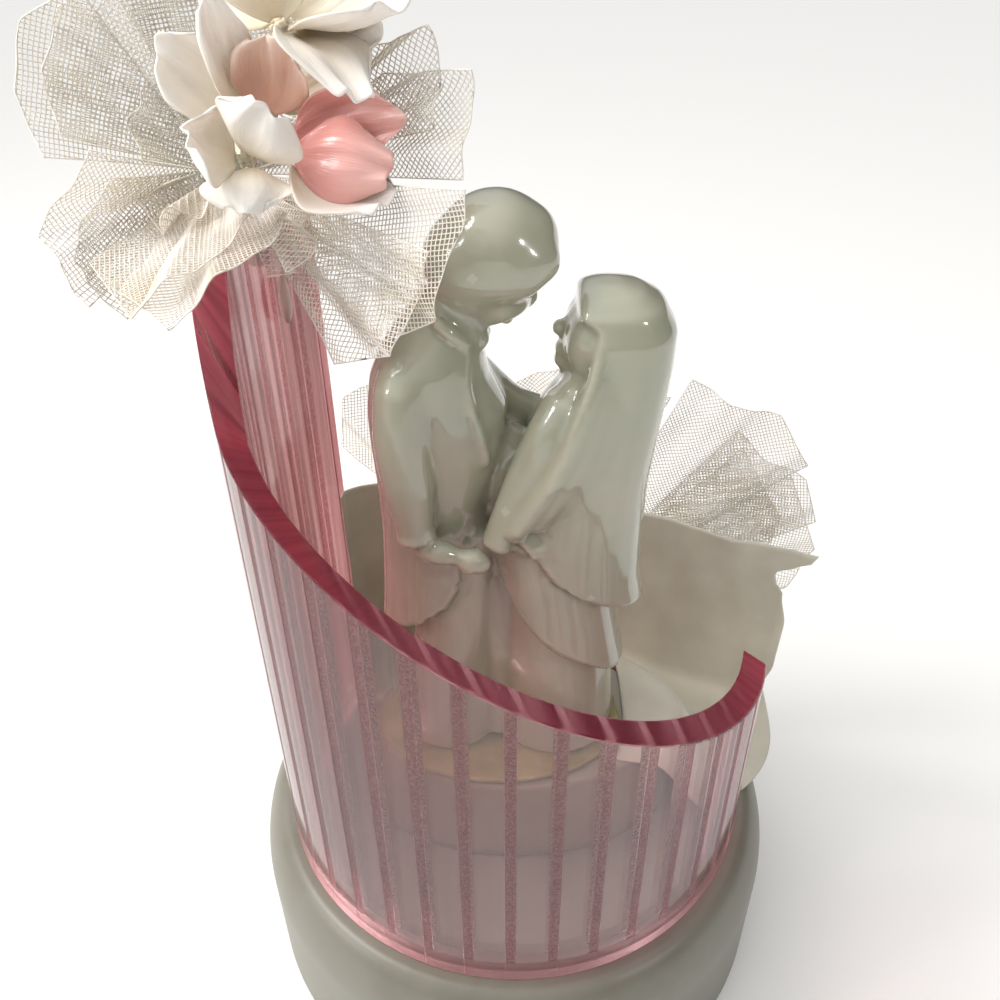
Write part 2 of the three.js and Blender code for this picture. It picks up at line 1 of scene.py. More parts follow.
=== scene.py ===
"""Wedding cake topper: a glazed porcelain couple inside a curved pink acrylic screen on a moulded drum,
with a satin drape, gathered tulle and fabric flowers. Metres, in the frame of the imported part."""
import math
from functools import partial

import bmesh
import bpy
from mathutils import Matrix, Vector, noise


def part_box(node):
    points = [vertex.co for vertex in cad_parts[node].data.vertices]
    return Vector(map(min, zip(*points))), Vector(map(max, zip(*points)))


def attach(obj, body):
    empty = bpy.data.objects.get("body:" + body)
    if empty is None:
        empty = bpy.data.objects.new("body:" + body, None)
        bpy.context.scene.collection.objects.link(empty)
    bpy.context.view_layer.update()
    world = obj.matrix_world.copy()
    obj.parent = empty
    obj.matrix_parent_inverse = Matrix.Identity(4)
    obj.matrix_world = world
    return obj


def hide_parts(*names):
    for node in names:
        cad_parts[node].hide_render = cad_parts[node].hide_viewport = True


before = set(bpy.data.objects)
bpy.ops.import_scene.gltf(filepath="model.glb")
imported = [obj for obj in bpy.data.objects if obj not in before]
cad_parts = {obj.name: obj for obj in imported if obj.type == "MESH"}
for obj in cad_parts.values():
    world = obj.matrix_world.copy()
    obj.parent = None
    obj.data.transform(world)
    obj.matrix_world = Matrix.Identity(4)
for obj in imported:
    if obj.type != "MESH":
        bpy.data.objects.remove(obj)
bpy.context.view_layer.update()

MM = 0.001

# Places and sizes taken from the frame
DRUM_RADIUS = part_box("base_drum")[1].x
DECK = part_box("base_drum")[1].z
SCREEN_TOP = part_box("acrylic_screen")[1].z
SCREEN_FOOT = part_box("acrylic_screen")[0].z
COUPLE_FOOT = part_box("porcelain_couple")[0].z
RISER_LOW, RISER_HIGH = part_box("couple_riser")

# Drum
SHOULDER_WIDTH = 6 * MM
SHOULDER_DROP = 13 * MM
DRUM_WALL = 2.5 * MM
DECK_THICKNESS = 3 * MM
RIB_THICKNESS = 2 * MM
HUB_RADIUS = 6 * MM

# Screen: angles in degrees from +X, anticlockwise seen from above
SCREEN_OUTER = DRUM_RADIUS - SHOULDER_WIDTH - 1 * MM
SCREEN_INNER = SCREEN_OUTER - 5.5 * MM
TALL_END = 144.5
LOW_END = 347
POST_HEAD = 186
POST_FOOT = 207
CUT_HEIGHT = 75.7 * MM
CUT_SLOPE = 0.607
CUT_LAG = 8
END_MARGIN = 5
SMOKY_ENDS = (84, 128, 165, 192)  # where the left one fades out and the right one in, past the tall end
SHEET_INNER = SCREEN_OUTER - 4.7 * MM
POLISH = 0.35 * MM
ETCH = 0.05 * MM
ETCH_RIM = 0.03 * MM
WALL_FACE = 30 * MM
# Strength of the painted glow on the cut edges, which give off magenta light of their own
CUT_FROST = 0.3
PAINTED_EDGE_GLOW = 0.14
FOOT_BAND = 6 * MM
STRIPE_PITCH = 9
STRIPE_WIDTH = 2
FIRST_STRIPE = TALL_END + 7.875

# Places of the cloth
BACK_ANGLE = 81.5
BACK_INSET = 1.7 * MM
BOUQUET_ANGLE = 157
BOUQUET_INSET = 3.3 * MM
BOUQUET_RISE = 6 * MM
BUNDLE_RADIUS = 3 * MM
SEAT = 0.3 * MM


def polar(radius, angle, z=0.0):
    turn = math.radians(angle)
    return Vector((radius * math.cos(turn), radius * math.sin(turn), z))


def millimetres(point):
    return Vector(point) * MM


def mix(a, b, t):
    return a + (b - a) * t


def smooth_step(t):
    t = min(max(t, 0.0), 1.0)
    return t * t * (3 - 2 * t)


BACK = polar(SCREEN_OUTER - BACK_INSET, BACK_ANGLE, DECK + SEAT)
BOUQUET = polar(SCREEN_INNER - BOUQUET_INSET, BOUQUET_ANGLE, SCREEN_TOP + BOUQUET_RISE)
BUNDLE = BOUQUET + polar(SCREEN_OUTER - SCREEN_INNER + BOUQUET_INSET + SEAT + BUNDLE_RADIUS, BOUQUET_ANGLE)


# Working with objects

def object_mode():
    bpy.ops.object.mode_set(mode="OBJECT")


def deselect():
    if bpy.context.object and bpy.context.object.mode != "OBJECT":
        object_mode()
    bpy.ops.object.select_all(action="DESELECT")


def activate(obj):
    deselect()
    obj.select_set(True)
    bpy.context.view_layer.objects.active = obj


def edit(obj, select="SELECT"):
    activate(obj)
    bpy.ops.object.mode_set(mode="EDIT")
    bpy.ops.mesh.select_all(action=select)


def added(name):
    """The primitive just added, with its place applied to its mesh."""
    obj = bpy.context.object
    obj.name = name
    activate(obj)
    bpy.ops.object.transform_apply(location=True, rotation=True, scale=True)
    return obj


def apply_modifier(obj, kind, **settings):
    activate(obj)
    modifier = obj.modifiers.new(kind.title(), kind)
    for key, value in settings.items():
        setattr(modifier, key, value)
    bpy.ops.object.modifier_apply(modifier=modifier.name)


def join(target, others):
    deselect()
    for obj in [target, *others]:
        obj.select_set(True)
    bpy.context.view_layer.objects.active = target
    bpy.ops.object.join()
    return target


def tidy_normals(obj, merge=1e-6):
    edit(obj)
    bpy.ops.mesh.remove_doubles(threshold=merge)
    bpy.ops.mesh.normals_make_consistent(inside=False)
    object_mode()


def dress(obj, material, slot, *nodes, angle=None):
    """Gives a finished piece its material, and lets it stand for its CAD nodes. Its finish slot is not used.
    """
    obj.data.materials.clear()
    obj.data.materials.append(material)
    activate(obj)
    if angle is None:
        bpy.ops.object.shade_smooth()
    else:
        bpy.ops.object.shade_smooth_by_angle(angle=math.radians(angle))
    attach(obj, "root")
    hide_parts(*nodes)
    return obj


def placed(name, data):
    """A new object in the scene."""
    obj = bpy.data.objects.new(name, data)
    bpy.context.scene.collection.objects.link(obj)
    return obj


def mesh_object(name, bm):
    mesh = bpy.data.meshes.new(name)
    bm.to_mesh(mesh)
    bm.free()
    return placed(name, mesh)


def tube(name, points, radii):
    """A round tube along points, with a radius in millimetres at each of them."""
    curve = bpy.data.curves.new(name, "CURVE")
    curve.dimensions = "3D"
    curve.bevel_depth = 1 * MM
    curve.bevel_resolution = 4
    curve.use_fill_caps = True
    spline = curve.splines.new("BEZIER")
    spline.bezier_points.add(len(points) - 1)
    for knot, point, radius in zip(spline.bezier_points, points, radii):
        knot.co = point
        knot.radius = radius
        knot.handle_left_type = knot.handle_right_type = "AUTO"
    activate(placed(name, curve))
    bpy.ops.object.convert(target="MESH")
    return bpy.context.object


def grid_sheet(name, surface, across, along):
    """An open sheet on a surface of two parameters from 0 to 1, which are its UV map."""
    bm = bmesh.new()
    uv = bm.loops.layers.uv.new("cloth")
    rows = [[bm.verts.new(surface(i / along, j / across)) for j in range(across + 1)]
            for i in range(along + 1)]
    for i in range(along):
        for j in range(across):
            corners = [(i, j), (i, j + 1), (i + 1, j + 1), (i + 1, j)]
            face = bm.faces.new([rows[a][b] for a, b in corners])
            for loop, (a, b) in zip(face.loops, corners):
                loop[uv].uv = (b / across, a / along)
    return mesh_object(name, bm)


def turned(name, profile, sides=192):
    """A body of revolution: a ring extruded along its profile of (radius, height), closed at the axis."""
    (first_radius, first_height) = profile[0]
    bpy.ops.mesh.primitive_circle_add(vertices=sides, radius=first_radius, location=(0, 0, first_height))
    obj = added(name)
    edit(obj)
    bpy.ops.mesh.edge_face_add()
    for (radius, height), (next_radius, next_height) in zip(profile, profile[1:]):
        bpy.ops.mesh.extrude_region_move(TRANSFORM_OT_translate={"value": (0, 0, next_height - height)})
        share = next_radius / radius
        bpy.ops.transform.resize(value=(share, share, 1), center_override=(0, 0, next_height))
    object_mode()
    tidy_normals(obj)
    return obj


def quarter(radius, height, width, drop, steps):
    """Profile points of a rounded edge, from the side wall up to the flat top."""
    turns = [math.pi / 2 * k / steps for k in range(steps + 1)]
    return [(radius - width + width * math.cos(t), height - drop + drop * math.sin(t)) for t in turns]


# Materials

def linear(code):
    """sRGB hex to linear colour."""
    parts = [int(code[k:k + 2], 16) / 255 for k in (1, 3, 5)]
    return (*[c / 12.92 if c <= 0.04045 else ((c + 0.055) / 1.055) ** 2.4 for c in parts], 1.0)


def fill_inputs(node, values):
    """Sets inputs of a node to values, or links them to a socket or to the main output of another node."""
    for key, value in values.items():
        if isinstance(value, bpy.types.Node):
            value = next(socket for socket in value.outputs if socket.enabled)
        if isinstance(value, bpy.types.NodeSocket):
            node.id_data.links.new(value, node.inputs[key])
        else:
            node.inputs[key].default_value = value


def add_node(tree, kind, inputs=(), stops=(), **settings):
    """Adds a shader node with its properties, its colour stops of (place, colour) and its inputs."""
    node = tree.nodes.new("ShaderNode" + kind)
    for key, value in settings.items():
        setattr(node, key, value)
    for k, (place, code) in enumerate(stops):
        stop = node.color_ramp.elements[k] if k < 2 else node.color_ramp.elements.new(place)
        stop.position = place
        stop.color = linear(code)
    fill_inputs(node, dict(inputs))
    return node


def per(size):
    """Scale of a noise whose features are about this many millimetres wide."""
    return 1 / (size * MM)


def material(name):
    """A new material, what adds a node to it, its shader, and the socket for places on the object."""
    mat = bpy.data.materials.new(name)
    mat.use_nodes = True
    add = partial(add_node, mat.node_tree)
    shader = mat.node_tree.nodes["Principled BSDF"]
    shader.inputs["Subsurface Scale"].default_value = 1.0
    return mat, add, shader, add("TexCoord").outputs["Object"]


def moulded_polystyrene(name, base, stain):
    # Injection-moulded white polystyrene, its base colour painted darker for the shade it stands in: a soft
    # gloss, a slight orange peel and faint yellowed clouds about two centimetres wide
    mat, add, shader, place = material(name)
    clouds = add("TexNoise", {"Vector": place, "Scale": per(22), "Detail": 5, "Roughness": 0.6})
    tone = add("ValToRGB", {"Fac": clouds}, [(0.3, stain), (0.6, base)])
    peel = add("TexNoise", {"Vector": place, "Scale": per(1.1), "Detail": 2})
    bump = add("Bump", {"Height": peel, "Strength": 0.05, "Distance": 0.2 * MM})
    rub = add("MapRange", {"Value": clouds, "To Min": 0.3, "To Max": 0.48})
    fill_inputs(shader, {
        "Base Color": tone, "Roughness": rub, "Normal": bump, "IOR": 1.59, "Subsurface Weight": 0.05,
        "Subsurface Radius": (0.002, 0.0018, 0.0014),
    })
    return mat


def glazed_porcelain():
    # Slip-cast porcelain under a thick clear glaze: a mirror-like coat, slightly wavy. Its colour is painted
    # darker and greener in the hollows and warmer white on the ridges, partly glaze that pools there and
    # partly painted shade.
    mat, add, shader, place = material("glazed_porcelain")
    # Painted shade: darker and greener in the hollows, lighter on the ridges, by pointiness; partly pooled
    # glaze, partly painted shade
    shape = add("NewGeometry").outputs["Pointiness"]
    painted_hollow_shade_and_pool = add("ValToRGB", {"Fac": shape}, [(0.44, "#8b8e80"), (0.55, "#c4c2b5"), (0.5, "#b2b2a4")])
    wash = add("TexNoise", {"Vector": place, "Scale": per(16), "Detail": 3})
    cast = add("ValToRGB", {"Fac": wash}, [(0.35, "#eef1e6"), (0.7, "#fffaf0")])
    body = add("Mix", {"Factor": 1.0, "A": painted_hollow_shade_and_pool, "B": cast}, data_type="RGBA", blend_type="MULTIPLY")
    waves = add("TexNoise", {"Vector": place, "Scale": per(4.4), "Detail": 2})
    bump = add("Bump", {"Height": waves, "Strength": 0.12, "Distance": 0.4 * MM})
    fill_inputs(shader, {
        "Base Color": body, "Roughness": 0.16, "IOR": 1.53, "Normal": bump, "Coat Weight": 1.0,
        "Coat Roughness": 0.02, "Coat IOR": 1.52, "Coat Normal": bump, "Subsurface Weight": 0.1,
        "Subsurface Radius": (0.0016, 0.0013, 0.001),
    })
    return mat


def pink_acrylic():
    # Cast acrylic sheet, dyed pink all through: pale through its thickness, deep magenta where the eye
    # looks down the sheet at a cut edge, where a painted magenta glow is added as well, with sandblasted
    # upright stripes that sparkle. The two ends are smoky, with streaks 1.9 mm wide and 110 mm long, and a
    # band along the foot is lightly frosted.
    mat, add, shader, place = material("pink_acrylic")
    part = add("SeparateXYZ", {"Vector": place})
    height = part.outputs["Z"]
    turn = add("Math", {0: part.outputs["Y"], 1: part.outputs["X"]}, operation="ARCTAN2")
    step = add("Math", {0: turn, 1: math.radians(-FIRST_STRIPE)}, operation="ADD")
    wave = add("Math", {0: step, 1: math.radians(STRIPE_PITCH / 2)}, operation="PINGPONG")
    half = math.radians(STRIPE_WIDTH / 2)
    band = add("MapRange", {"Value": wave, "From Min": half * 0.85, "From Max": half * 1.15,
                            "To Min": 1.0, "To Max": 0.0})
    from_end = add("Math", {0: turn, 1: math.radians(TALL_END - END_MARGIN)}, operation="SUBTRACT")
    swing = add("Math", {0: from_end, 1: 2 * math.pi}, operation="FLOORED_MODULO")
    left_start, left_end, right_start, right_end = (math.radians(angle) for angle in SMOKY_ENDS)
    left = add("MapRange", {"Value": swing, "From Min": left_start, "From Max": left_end,
                            "To Min": 1.0, "To Max": 0.0})
    right = add("MapRange", {"Value": swing, "From Min": right_start, "From Max": right_end,
                             "To Min": 0.0, "To Max": 0.85})
    smoky = add("Math", {0: left, 1: right}, operation="MAXIMUM")
    foot = add("MapRange", {"Value": height, "From Min": SCREEN_FOOT + FOOT_BAND,
                            "From Max": SCREEN_FOOT + FOOT_BAND * 1.1, "To Min": 1.0, "To Max": 0.0})
    sawn = add("Attribute", attribute_name="cut_edge", attribute_type="GEOMETRY").outputs["Fac"]
    plain = add("Math", {0: sawn, 1: foot}, operation="MAXIMUM")
    bare = add("Math", {0: 1.0, 1: plain}, operation="SUBTRACT")
    stripe = add("Math", {0: band, 1: bare}, operation="MULTIPLY")
    grit = add("TexNoise", {"Vector": place, "Scale": per(0.45), "Detail": 2})
    sand = add("Math", {0: grit, 1: stripe}, operation="MULTIPLY")
    sparkle = add("ValToRGB", {"Fac": grit}, [(0.42, "#c58890"), (0.62, "#fadfe2")])
    upright = add("CombineXYZ", {"X": swing, "Y": height})
    drawn = add("Mapping", {"Vector": upright, "Scale": (26, 9, 1)})
    streaks = add("TexNoise", {"Vector": drawn, "Scale": 1.0, "Detail": 4})
    smear = add("ValToRGB", {"Fac": streaks}, [(0.36, "#74504f"), (0.64, "#c49594")])
    haze = add("Mix", {"Factor": smoky, "A": linear("#f2eae8"), "B": smear}, data_type="RGBA")
    banded = add("Mix", {"Factor": foot, "A": haze, "B": linear("#e0bcbc")}, data_type="RGBA")
    tint = add("Mix", {"Factor": stripe, "A": banded, "B": sparkle}, data_type="RGBA", blend_type="MULTIPLY")
    frost = add("MapRange", {"Value": stripe, "To Min": 0.02, "To Max": 0.4})
    haze_rough = add("Math", {0: smoky, 1: 0.12}, operation="MULTIPLY")
    edge_rough = add("Math", {0: plain, 1: CUT_FROST}, operation="MULTIPLY")
    rougher = add("Math", {0: frost, 1: haze_rough}, operation="MAXIMUM")
    rough = add("Math", {0: rougher, 1: edge_rough}, operation="MAXIMUM")
    # Painted glow: the cut edges emit a faint magenta light, standing in for light carried along the sheet
    painted_edge_glow = add("Math", {0: sawn, 1: PAINTED_EDGE_GLOW}, operation="MULTIPLY")
    bump = add("Bump", {"Height": sand, "Strength": 0.5, "Distance": 0.3 * MM})
    fill_inputs(shader, {
        "Base Color": tint, "Roughness": rough, "IOR": 1.49, "Transmission Weight": 1.0, "Normal": bump,
        "Emission Color": linear("#d82c58"), "Emission Strength": painted_edge_glow,
    })
    light = add("LightPath").outputs["Is Shadow Ray"]
    clear = add("BsdfTransparent", {"Color": (0.64, 0.57, 0.57, 1)})
    shown = add("MixShader", {0: light, 1: shader, 2: clear})
    dye = add("VolumeAbsorption", {"Color": (0.84, 0.04, 0.3, 1), "Density": 21.0})
    fill_inputs(mat.node_tree.nodes["Material Output"], {"Surface": shown, "Volume": dye})
    return mat


def set_glue(name, base, deep, transmission):
    # Hot-melt glue, set in blobs: waxy and half clear, with cloudy patches and a slightly bubbly skin
    mat, add, shader, place = material(name)
    clouds = add("TexNoise", {"Vector": place, "Scale": per(6.2), "Detail": 4})
    tone = add("ValToRGB", {"Fac": clouds}, [(0.35, deep), (0.65, base)])
    bubbles = add("TexVoronoi", {"Vector": place, "Scale": per(2)})
    bump = add("Bump", {"Height": bubbles, "Strength": 0.15, "Distance": 0.4 * MM})
    fill_inputs(shader, {
        "Base Color": tone, "Roughness": 0.28, "IOR": 1.48, "Normal": bump,
        "Transmission Weight": transmission, "Subsurface Weight": 0.3,
        "Subsurface Radius": (0.002, 0.0016, 0.0009),
    })
    return mat


def nylon_tulle():
    # Knitted nylon net: round white filaments, a little shiny, that glow where the light comes from behind
    mat, add, shader, place = material("nylon_tulle")
    clouds = add("TexNoise", {"Vector": place, "Scale": per(11), "Detail": 3})
    tone = add("ValToRGB", {"Fac": clouds}, [(0.35, "#e3d8c6"), (0.65, "#f7f1e8")])
    fill_inputs(shader, {
        "Base Color": tone, "Roughness": 0.42, "IOR": 1.53, "Sheen Weight": 0.2, "Subsurface Weight": 0.35,
        "Subsurface Radius": (0.0006, 0.0006, 0.0005),
    })
    return mat


def cream_satin():
    # Polyester satin: long floats of smooth yarn give a soft sheen along the cloth, over a weave that is
    # drawn coarser than life, at 0.3 mm, so that it shows
    mat, add, shader, place = material("cream_satin")
    cloth = add("UVMap", uv_map="cloth")
    yarn = add("Mapping", {"Vector": cloth, "Scale": (420, 60, 1)})
    floats = add("TexNoise", {"Vector": yarn, "Scale": 1.0, "Detail": 2})
    clouds = add("TexNoise", {"Vector": place, "Scale": per(14), "Detail": 4})
    tone = add("ValToRGB", {"Fac": clouds}, [(0.3, "#c3c1b0"), (0.7, "#d5d3c4")])
    bump = add("Bump", {"Height": floats, "Strength": 0.12, "Distance": 0.2 * MM})
    fill_inputs(shader, {
        "Base Color": tone, "Roughness": 0.5, "IOR": 1.5, "Normal": bump, "Sheen Weight": 0.25,
        "Sheen Roughness": 0.4, "Subsurface Weight": 0.15, "Subsurface Radius": (0.001, 0.0009, 0.0007),
    })
    return mat


def petal_satin(name, root, blade, rim, rough, shine):
    # Heat-pressed satin petal: a silky surface with pressed veins 0.3 mm wide, deeper at its root and paler
    # at its rim
    mat, add, shader, place = material(name)
    cloth = add("UVMap", uv_map="cloth")
    part = add("SeparateXYZ", {"Vector": cloth})
    tone = add("ValToRGB", {"Fac": part.outputs["Y"]}, [(0, root), (1, rim), (0.55, blade)])
    fibre = add("Mapping", {"Vector": cloth, "Scale": (46, 5, 1)})
    veins = add("TexNoise", {"Vector": fibre, "Scale": 1.0, "Detail": 3})
    clouds = add("TexNoise", {"Vector": place, "Scale": per(5), "Detail": 3})
    shade = add("MapRange", {"Value": clouds, "To Min": 0.86, "To Max": 1.08})
    body = add("Mix", {"Factor": 1.0, "A": tone, "B": shade}, data_type="RGBA", blend_type="MULTIPLY")
    bump = add("Bump", {"Height": veins, "Strength": 0.35, "Distance": 0.3 * MM})
    fill_inputs(shader, {
        "Base Color": body, "Roughness": rough, "IOR": 1.5, "Normal": bump, "Specular IOR Level": shine,
        "Sheen Weight": 0.4, "Sheen Roughness": 0.35, "Subsurface Weight": 0.35,
        "Subsurface Radius": (0.0012, 0.0009, 0.0008),
    })
    return mat


def floral_tape():
    # Waxed crepe-paper tape: matte, finely creped
    mat, add, shader, place = material("floral_tape")
    crepe = add("TexNoise", {"Vector": place, "Scale": per(0.8), "Detail": 3})
    tone = add("ValToRGB", {"Fac": crepe}, [(0, "#c9cbb2"), (1, "#e4e4d4")])
    bump = add("Bump", {"Height": crepe, "Strength": 0.4, "Distance": 0.3 * MM})
    fill_inputs(shader, {"Base Color": tone, "Roughness": 0.7, "Normal": bump})
    return mat


def floor_paper():
    # Smooth white background paper with a barely visible tooth
    mat, add, shader, place = material("floor_paper")
    tooth = add("TexNoise", {"Vector": place, "Scale": per(1.1), "Detail": 2})
    bump = add("Bump", {"Height": tooth, "Strength": 0.05, "Distance": 0.2 * MM})
    fill_inputs(shader, {
        "Base Color": linear("#fcfbf9"), "Roughness": 0.9, "Normal": bump, "Specular IOR Level": 0.2,
    })
    return mat


# Painted shade: both plastics are white, given darker colours for the shade they stand in, the drum darker
# than the riser
DRUM_PLASTIC_WITH_PAINTED_SHADE = moulded_polystyrene("moulded_polystyrene", "#7c7a6e", "#6e6b5d")
RISER_PLASTIC_WITH_PAINTED_SHADE = moulded_polystyrene("riser_polystyrene", "#928e80", "#827c6a")
PORCELAIN = glazed_porcelain()
ACRYLIC = pink_acrylic()
OLD_GLUE = set_glue("yellowed_glue", "#aaa473", "#8e8651", 0.1)
CLEAR_GLUE = set_glue("clear_glue", "#efe2da", "#dcc8c0", 0.6)
TULLE = nylon_tulle()
SATIN = cream_satin()
WHITE_PETAL = petal_satin("white_petal", "#d8cdb4", "#efe6da", "#f8f3ec", 0.75, 0.15)
PEACH_PETAL = petal_satin("peach_petal", "#dfab97", "#edc4b2", "#f5d8ca", 0.5, 0.3)
PINK_PETAL = petal_satin("pink_petal", "#d38a86", "#ecaaa4", "#f5c0b8", 0.2, 0.6)
TAPE = floral_tape()


# Base: drum, riser and glue

def base_drum():
    eye = 0.2 * MM
    inner_top = DECK - DECK_THICKNESS
    inside = quarter(DRUM_RADIUS - DRUM_WALL, inner_top, SHOULDER_WIDTH, SHOULDER_DROP - DECK_THICKNESS, 12)
    outside = quarter(DRUM_RADIUS, DECK, SHOULDER_WIDTH, SHOULDER_DROP, 24)
    foot = 0.5 * MM
    profile = [(eye, inner_top), *reversed(inside)]
    profile += [(DRUM_RADIUS - DRUM_WALL, foot), (DRUM_RADIUS - DRUM_WALL + foot, 0)]
    profile += [(DRUM_RADIUS - foot, 0), (DRUM_RADIUS, foot), *outside, (eye, DECK)]
    drum = turned("moulded_drum", profile)
    ribs = []
    long_rib = (2 * DRUM_RADIUS - DRUM_WALL, DECK - SHOULDER_DROP)
    tall_rib = (2 * (DRUM_RADIUS - SHOULDER_WIDTH - DRUM_WALL), inner_top)
    for turn in (0, math.pi / 2):
        for span, height in (long_rib, tall_rib):
            bpy.ops.mesh.primitive_cube_add(size=1, location=(0, 0, height / 2), rotation=(0, 0, turn),
                                            scale=(span, RIB_THICKNESS, height))
            ribs.append(added("rib"))
    bpy.ops.mesh.primitive_cylinder_add(vertices=48, radius=HUB_RADIUS, depth=inner_top,
                                        location=(0, 0, inner_top / 2))
    ribs.append(added("hub"))
    for rib in ribs:
        apply_modifier(drum, "BOOLEAN", operation="UNION", object=rib, solver="MANIFOLD")
        bpy.data.objects.remove(rib)
    tidy_normals(drum)
    return dress(drum, DRUM_PLASTIC_WITH_PAINTED_SHADE, "white_plastic", "base_drum", angle=30)


# Blocks: rounded edge in mm, flare of the foot, depth and width in mm of the waves in the skin
BLOCKS = [
    ("couple_riser_block", "couple_riser", 1.5, 1.12, 0.5, 14, RISER_PLASTIC_WITH_PAINTED_SHADE, "white_plastic"),
    ("riser_glue", "glue_pad", 0.6, 1.0, 1.6, 9, OLD_GLUE, "yellowed_glue"),
    ("tulle_glue_bed", "back_tulle_glue", 1.4, 1.0, 0.6, 4, CLEAR_GLUE, "clear_glue"),
]
BLOCK_EYE = 0.05 * MM
BLOCK_FOOT = 0.4 * MM
BLOCK_SWELL = 0.15 * MM


def oval_block(name, node, edge, flare, wobble, wave):
    """A block over the box of a CAD node: an oval with a rounded edge, a flared foot and an uneven skin."""
    low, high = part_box(node)
    middle = (low + high) / 2
    width, depth = high.x - low.x, high.y - low.y
    radius = width / 2 / flare
    profile = [(BLOCK_EYE, 0), (radius * flare * 0.98, 0), (radius * flare, BLOCK_FOOT)]
    side = high.z - low.z - edge
    profile += [(radius * mix(flare, 1, k / 8), mix(BLOCK_FOOT, side, k / 8)) for k in range(1, 8)]
    profile += [*quarter(radius, high.z - low.z, edge, edge, 6)]
    profile += [(radius * k / 8, high.z - low.z) for k in range(7, 0, -1)]
    profile += [(BLOCK_EYE, high.z - low.z)]
    block = turned(name, profile, 128)
    for vertex in block.data.vertices:
        place = vertex.co.copy()
        skin = noise.noise(place / wave) * wobble
        away = Vector((place.x, place.y, 0)).normalized()
        rise = min(place.z / edge, 1.0)
        vertex.co += away * min(skin, BLOCK_SWELL) + Vector((0, 0, min(skin, 0) * rise * 0.5))
        vertex.co.y *= depth / width
        vertex.co += Vector((middle.x, middle.y, low.z))
    return block


def base_pieces():
    base_drum()
    for name, node, edge, flare, wobble, wave, finish, slot in BLOCKS:
        dress(oval_block(name, node, edge * MM, flare, wobble * MM, wave * MM), finish, slot, node)


# Acrylic screen

def screen_top(radius, angle):
    """Height of the cut: one sloping plane, then a climb to the post that starts later on the inner face."""
    ramp = CUT_HEIGHT - CUT_SLOPE * radius * math.cos(math.radians(angle))
    lag = CUT_LAG if radius < SCREEN_OUTER else 0
    climb = smooth_step((POST_FOOT - lag - angle) / (POST_FOOT - POST_HEAD))
    return DECK + mix(ramp, SCREEN_TOP - DECK, climb)


def angle_of(point):
    """Angle about the drum's axis, counted on from the tall end of the screen."""
    first = TALL_END - END_MARGIN
    return (math.degrees(math.atan2(point.y, point.x)) - first) % 360 + first


def acrylic_screen():
    steps = 360
    bm = bmesh.new()
    rings = []
    for k in range(steps + 1):
        angle = mix(TALL_END, LOW_END, k / steps)
        corners = [(SHEET_INNER, SCREEN_FOOT), (SHEET_INNER, screen_top(SHEET_INNER, angle)),
                   (SCREEN_OUTER, screen_top(SCREEN_OUTER, angle)), (SCREEN_OUTER, SCREEN_FOOT)]
        rings.append([bm.verts.new(polar(radius, angle, z)) for radius, z in corners])
    for ring, following in zip(rings, rings[1:]):
        for j in range(4):
            i = (j + 1) % 4
            bm.faces.new([ring[j], ring[i], following[i], following[j]])
    bm.faces.new(rings[0])
    bm.faces.new(rings[-1][::-1])
    screen = mesh_object("pink_screen", bm)
    tidy_normals(screen)
    apply_modifier(screen, "BEVEL", width=POLISH, segments=2, limit_method="ANGLE",
                   angle_limit=math.radians(50), use_clamp_overlap=False)
    edit(screen, "DESELECT")
    bpy.ops.mesh.select_mode(type="FACE")
    object_mode()
    for face in screen.data.polygons:
        middle = face.center
        out = Vector((middle.x, middle.y, 0)).normalized()
        away = (angle_of(middle) - FIRST_STRIPE + STRIPE_PITCH / 2) % STRIPE_PITCH - STRIPE_PITCH / 2
        tall = max(screen.data.vertices[v].co.z for v in face.vertices) - DECK > WALL_FACE
        face.select = tall and face.normal.dot(out) > 0.98 and abs(away) < STRIPE_WIDTH / 2
    bpy.ops.object.mode_set(mode="EDIT")
    bpy.ops.mesh.inset(thickness=ETCH_RIM, depth=-ETCH, use_boundary=True)
    object_mode()
    cut_edge = screen.data.attributes.new("cut_edge", "FLOAT", "FACE")
    for face in screen.data.polygons:
        out = Vector((face.center.x, face.center.y, 0)).normalized()
        end_face = abs(face.normal.cross(out).z) > 0.7
        cut_edge.data[face.index].value = 1.0 if face.normal.z > 0.3 or end_face else 0.0
    return dress(screen, ACRYLIC, "pink_acrylic", "acrylic_screen", angle=8)


def glue_drip():
    low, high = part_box("glue_drip")
    middle, size = (low + high) / 2, high - low
    middle += Vector((middle.x, middle.y, 0)).normalized() * (SHEET_INNER - SCREEN_INNER)
    bpy.ops.mesh.primitive_uv_sphere_add(segments=32, ring_count=24, radius=0.5)
    drip = added("glue_drip_bead")
    for vertex in drip.data.vertices:
        tail = mix(0.55, 1.0, smooth_step(0.75 - vertex.co.z))
        run = noise.noise(vertex.co * 3) * 0.08
        vertex.co.x *= tail + run
        vertex.co.y *= tail + run
        vertex.co = middle + Vector([a * b for a, b in zip(vertex.co, size)])
    return dress(drip, CLEAR_GLUE, "clear_glue", "glue_drip")


# Porcelain couple

def at_couple(x, y, z):
    return Vector((x * MM, y * MM, COUPLE_FOOT + z * MM))


def lump(place, size, turn=(0, 0, 0)):
    """A small rounded form on the couple, in millimetres from its foot."""
    bpy.ops.mesh.primitive_ico_sphere_add(subdivisions=4, radius=1, location=at_couple(*place),
                                          rotation=[math.radians(a) for a in turn],
                                          scale=[s * MM for s in size])
    return added("lump")


def pair(place, size, turn):
    """Two lumps mirrored about the middle, the near one given."""
    x, y, z = place
    return [lump(place, size, turn), lump((x, -y, z), size, (-turn[0], *turn[1:]))]


def roll(points, radii):
    """A tapered roll of clay along points in millimetres from the couple's foot."""
    return tube("roll", [at_couple(*point) for point in points], radii)


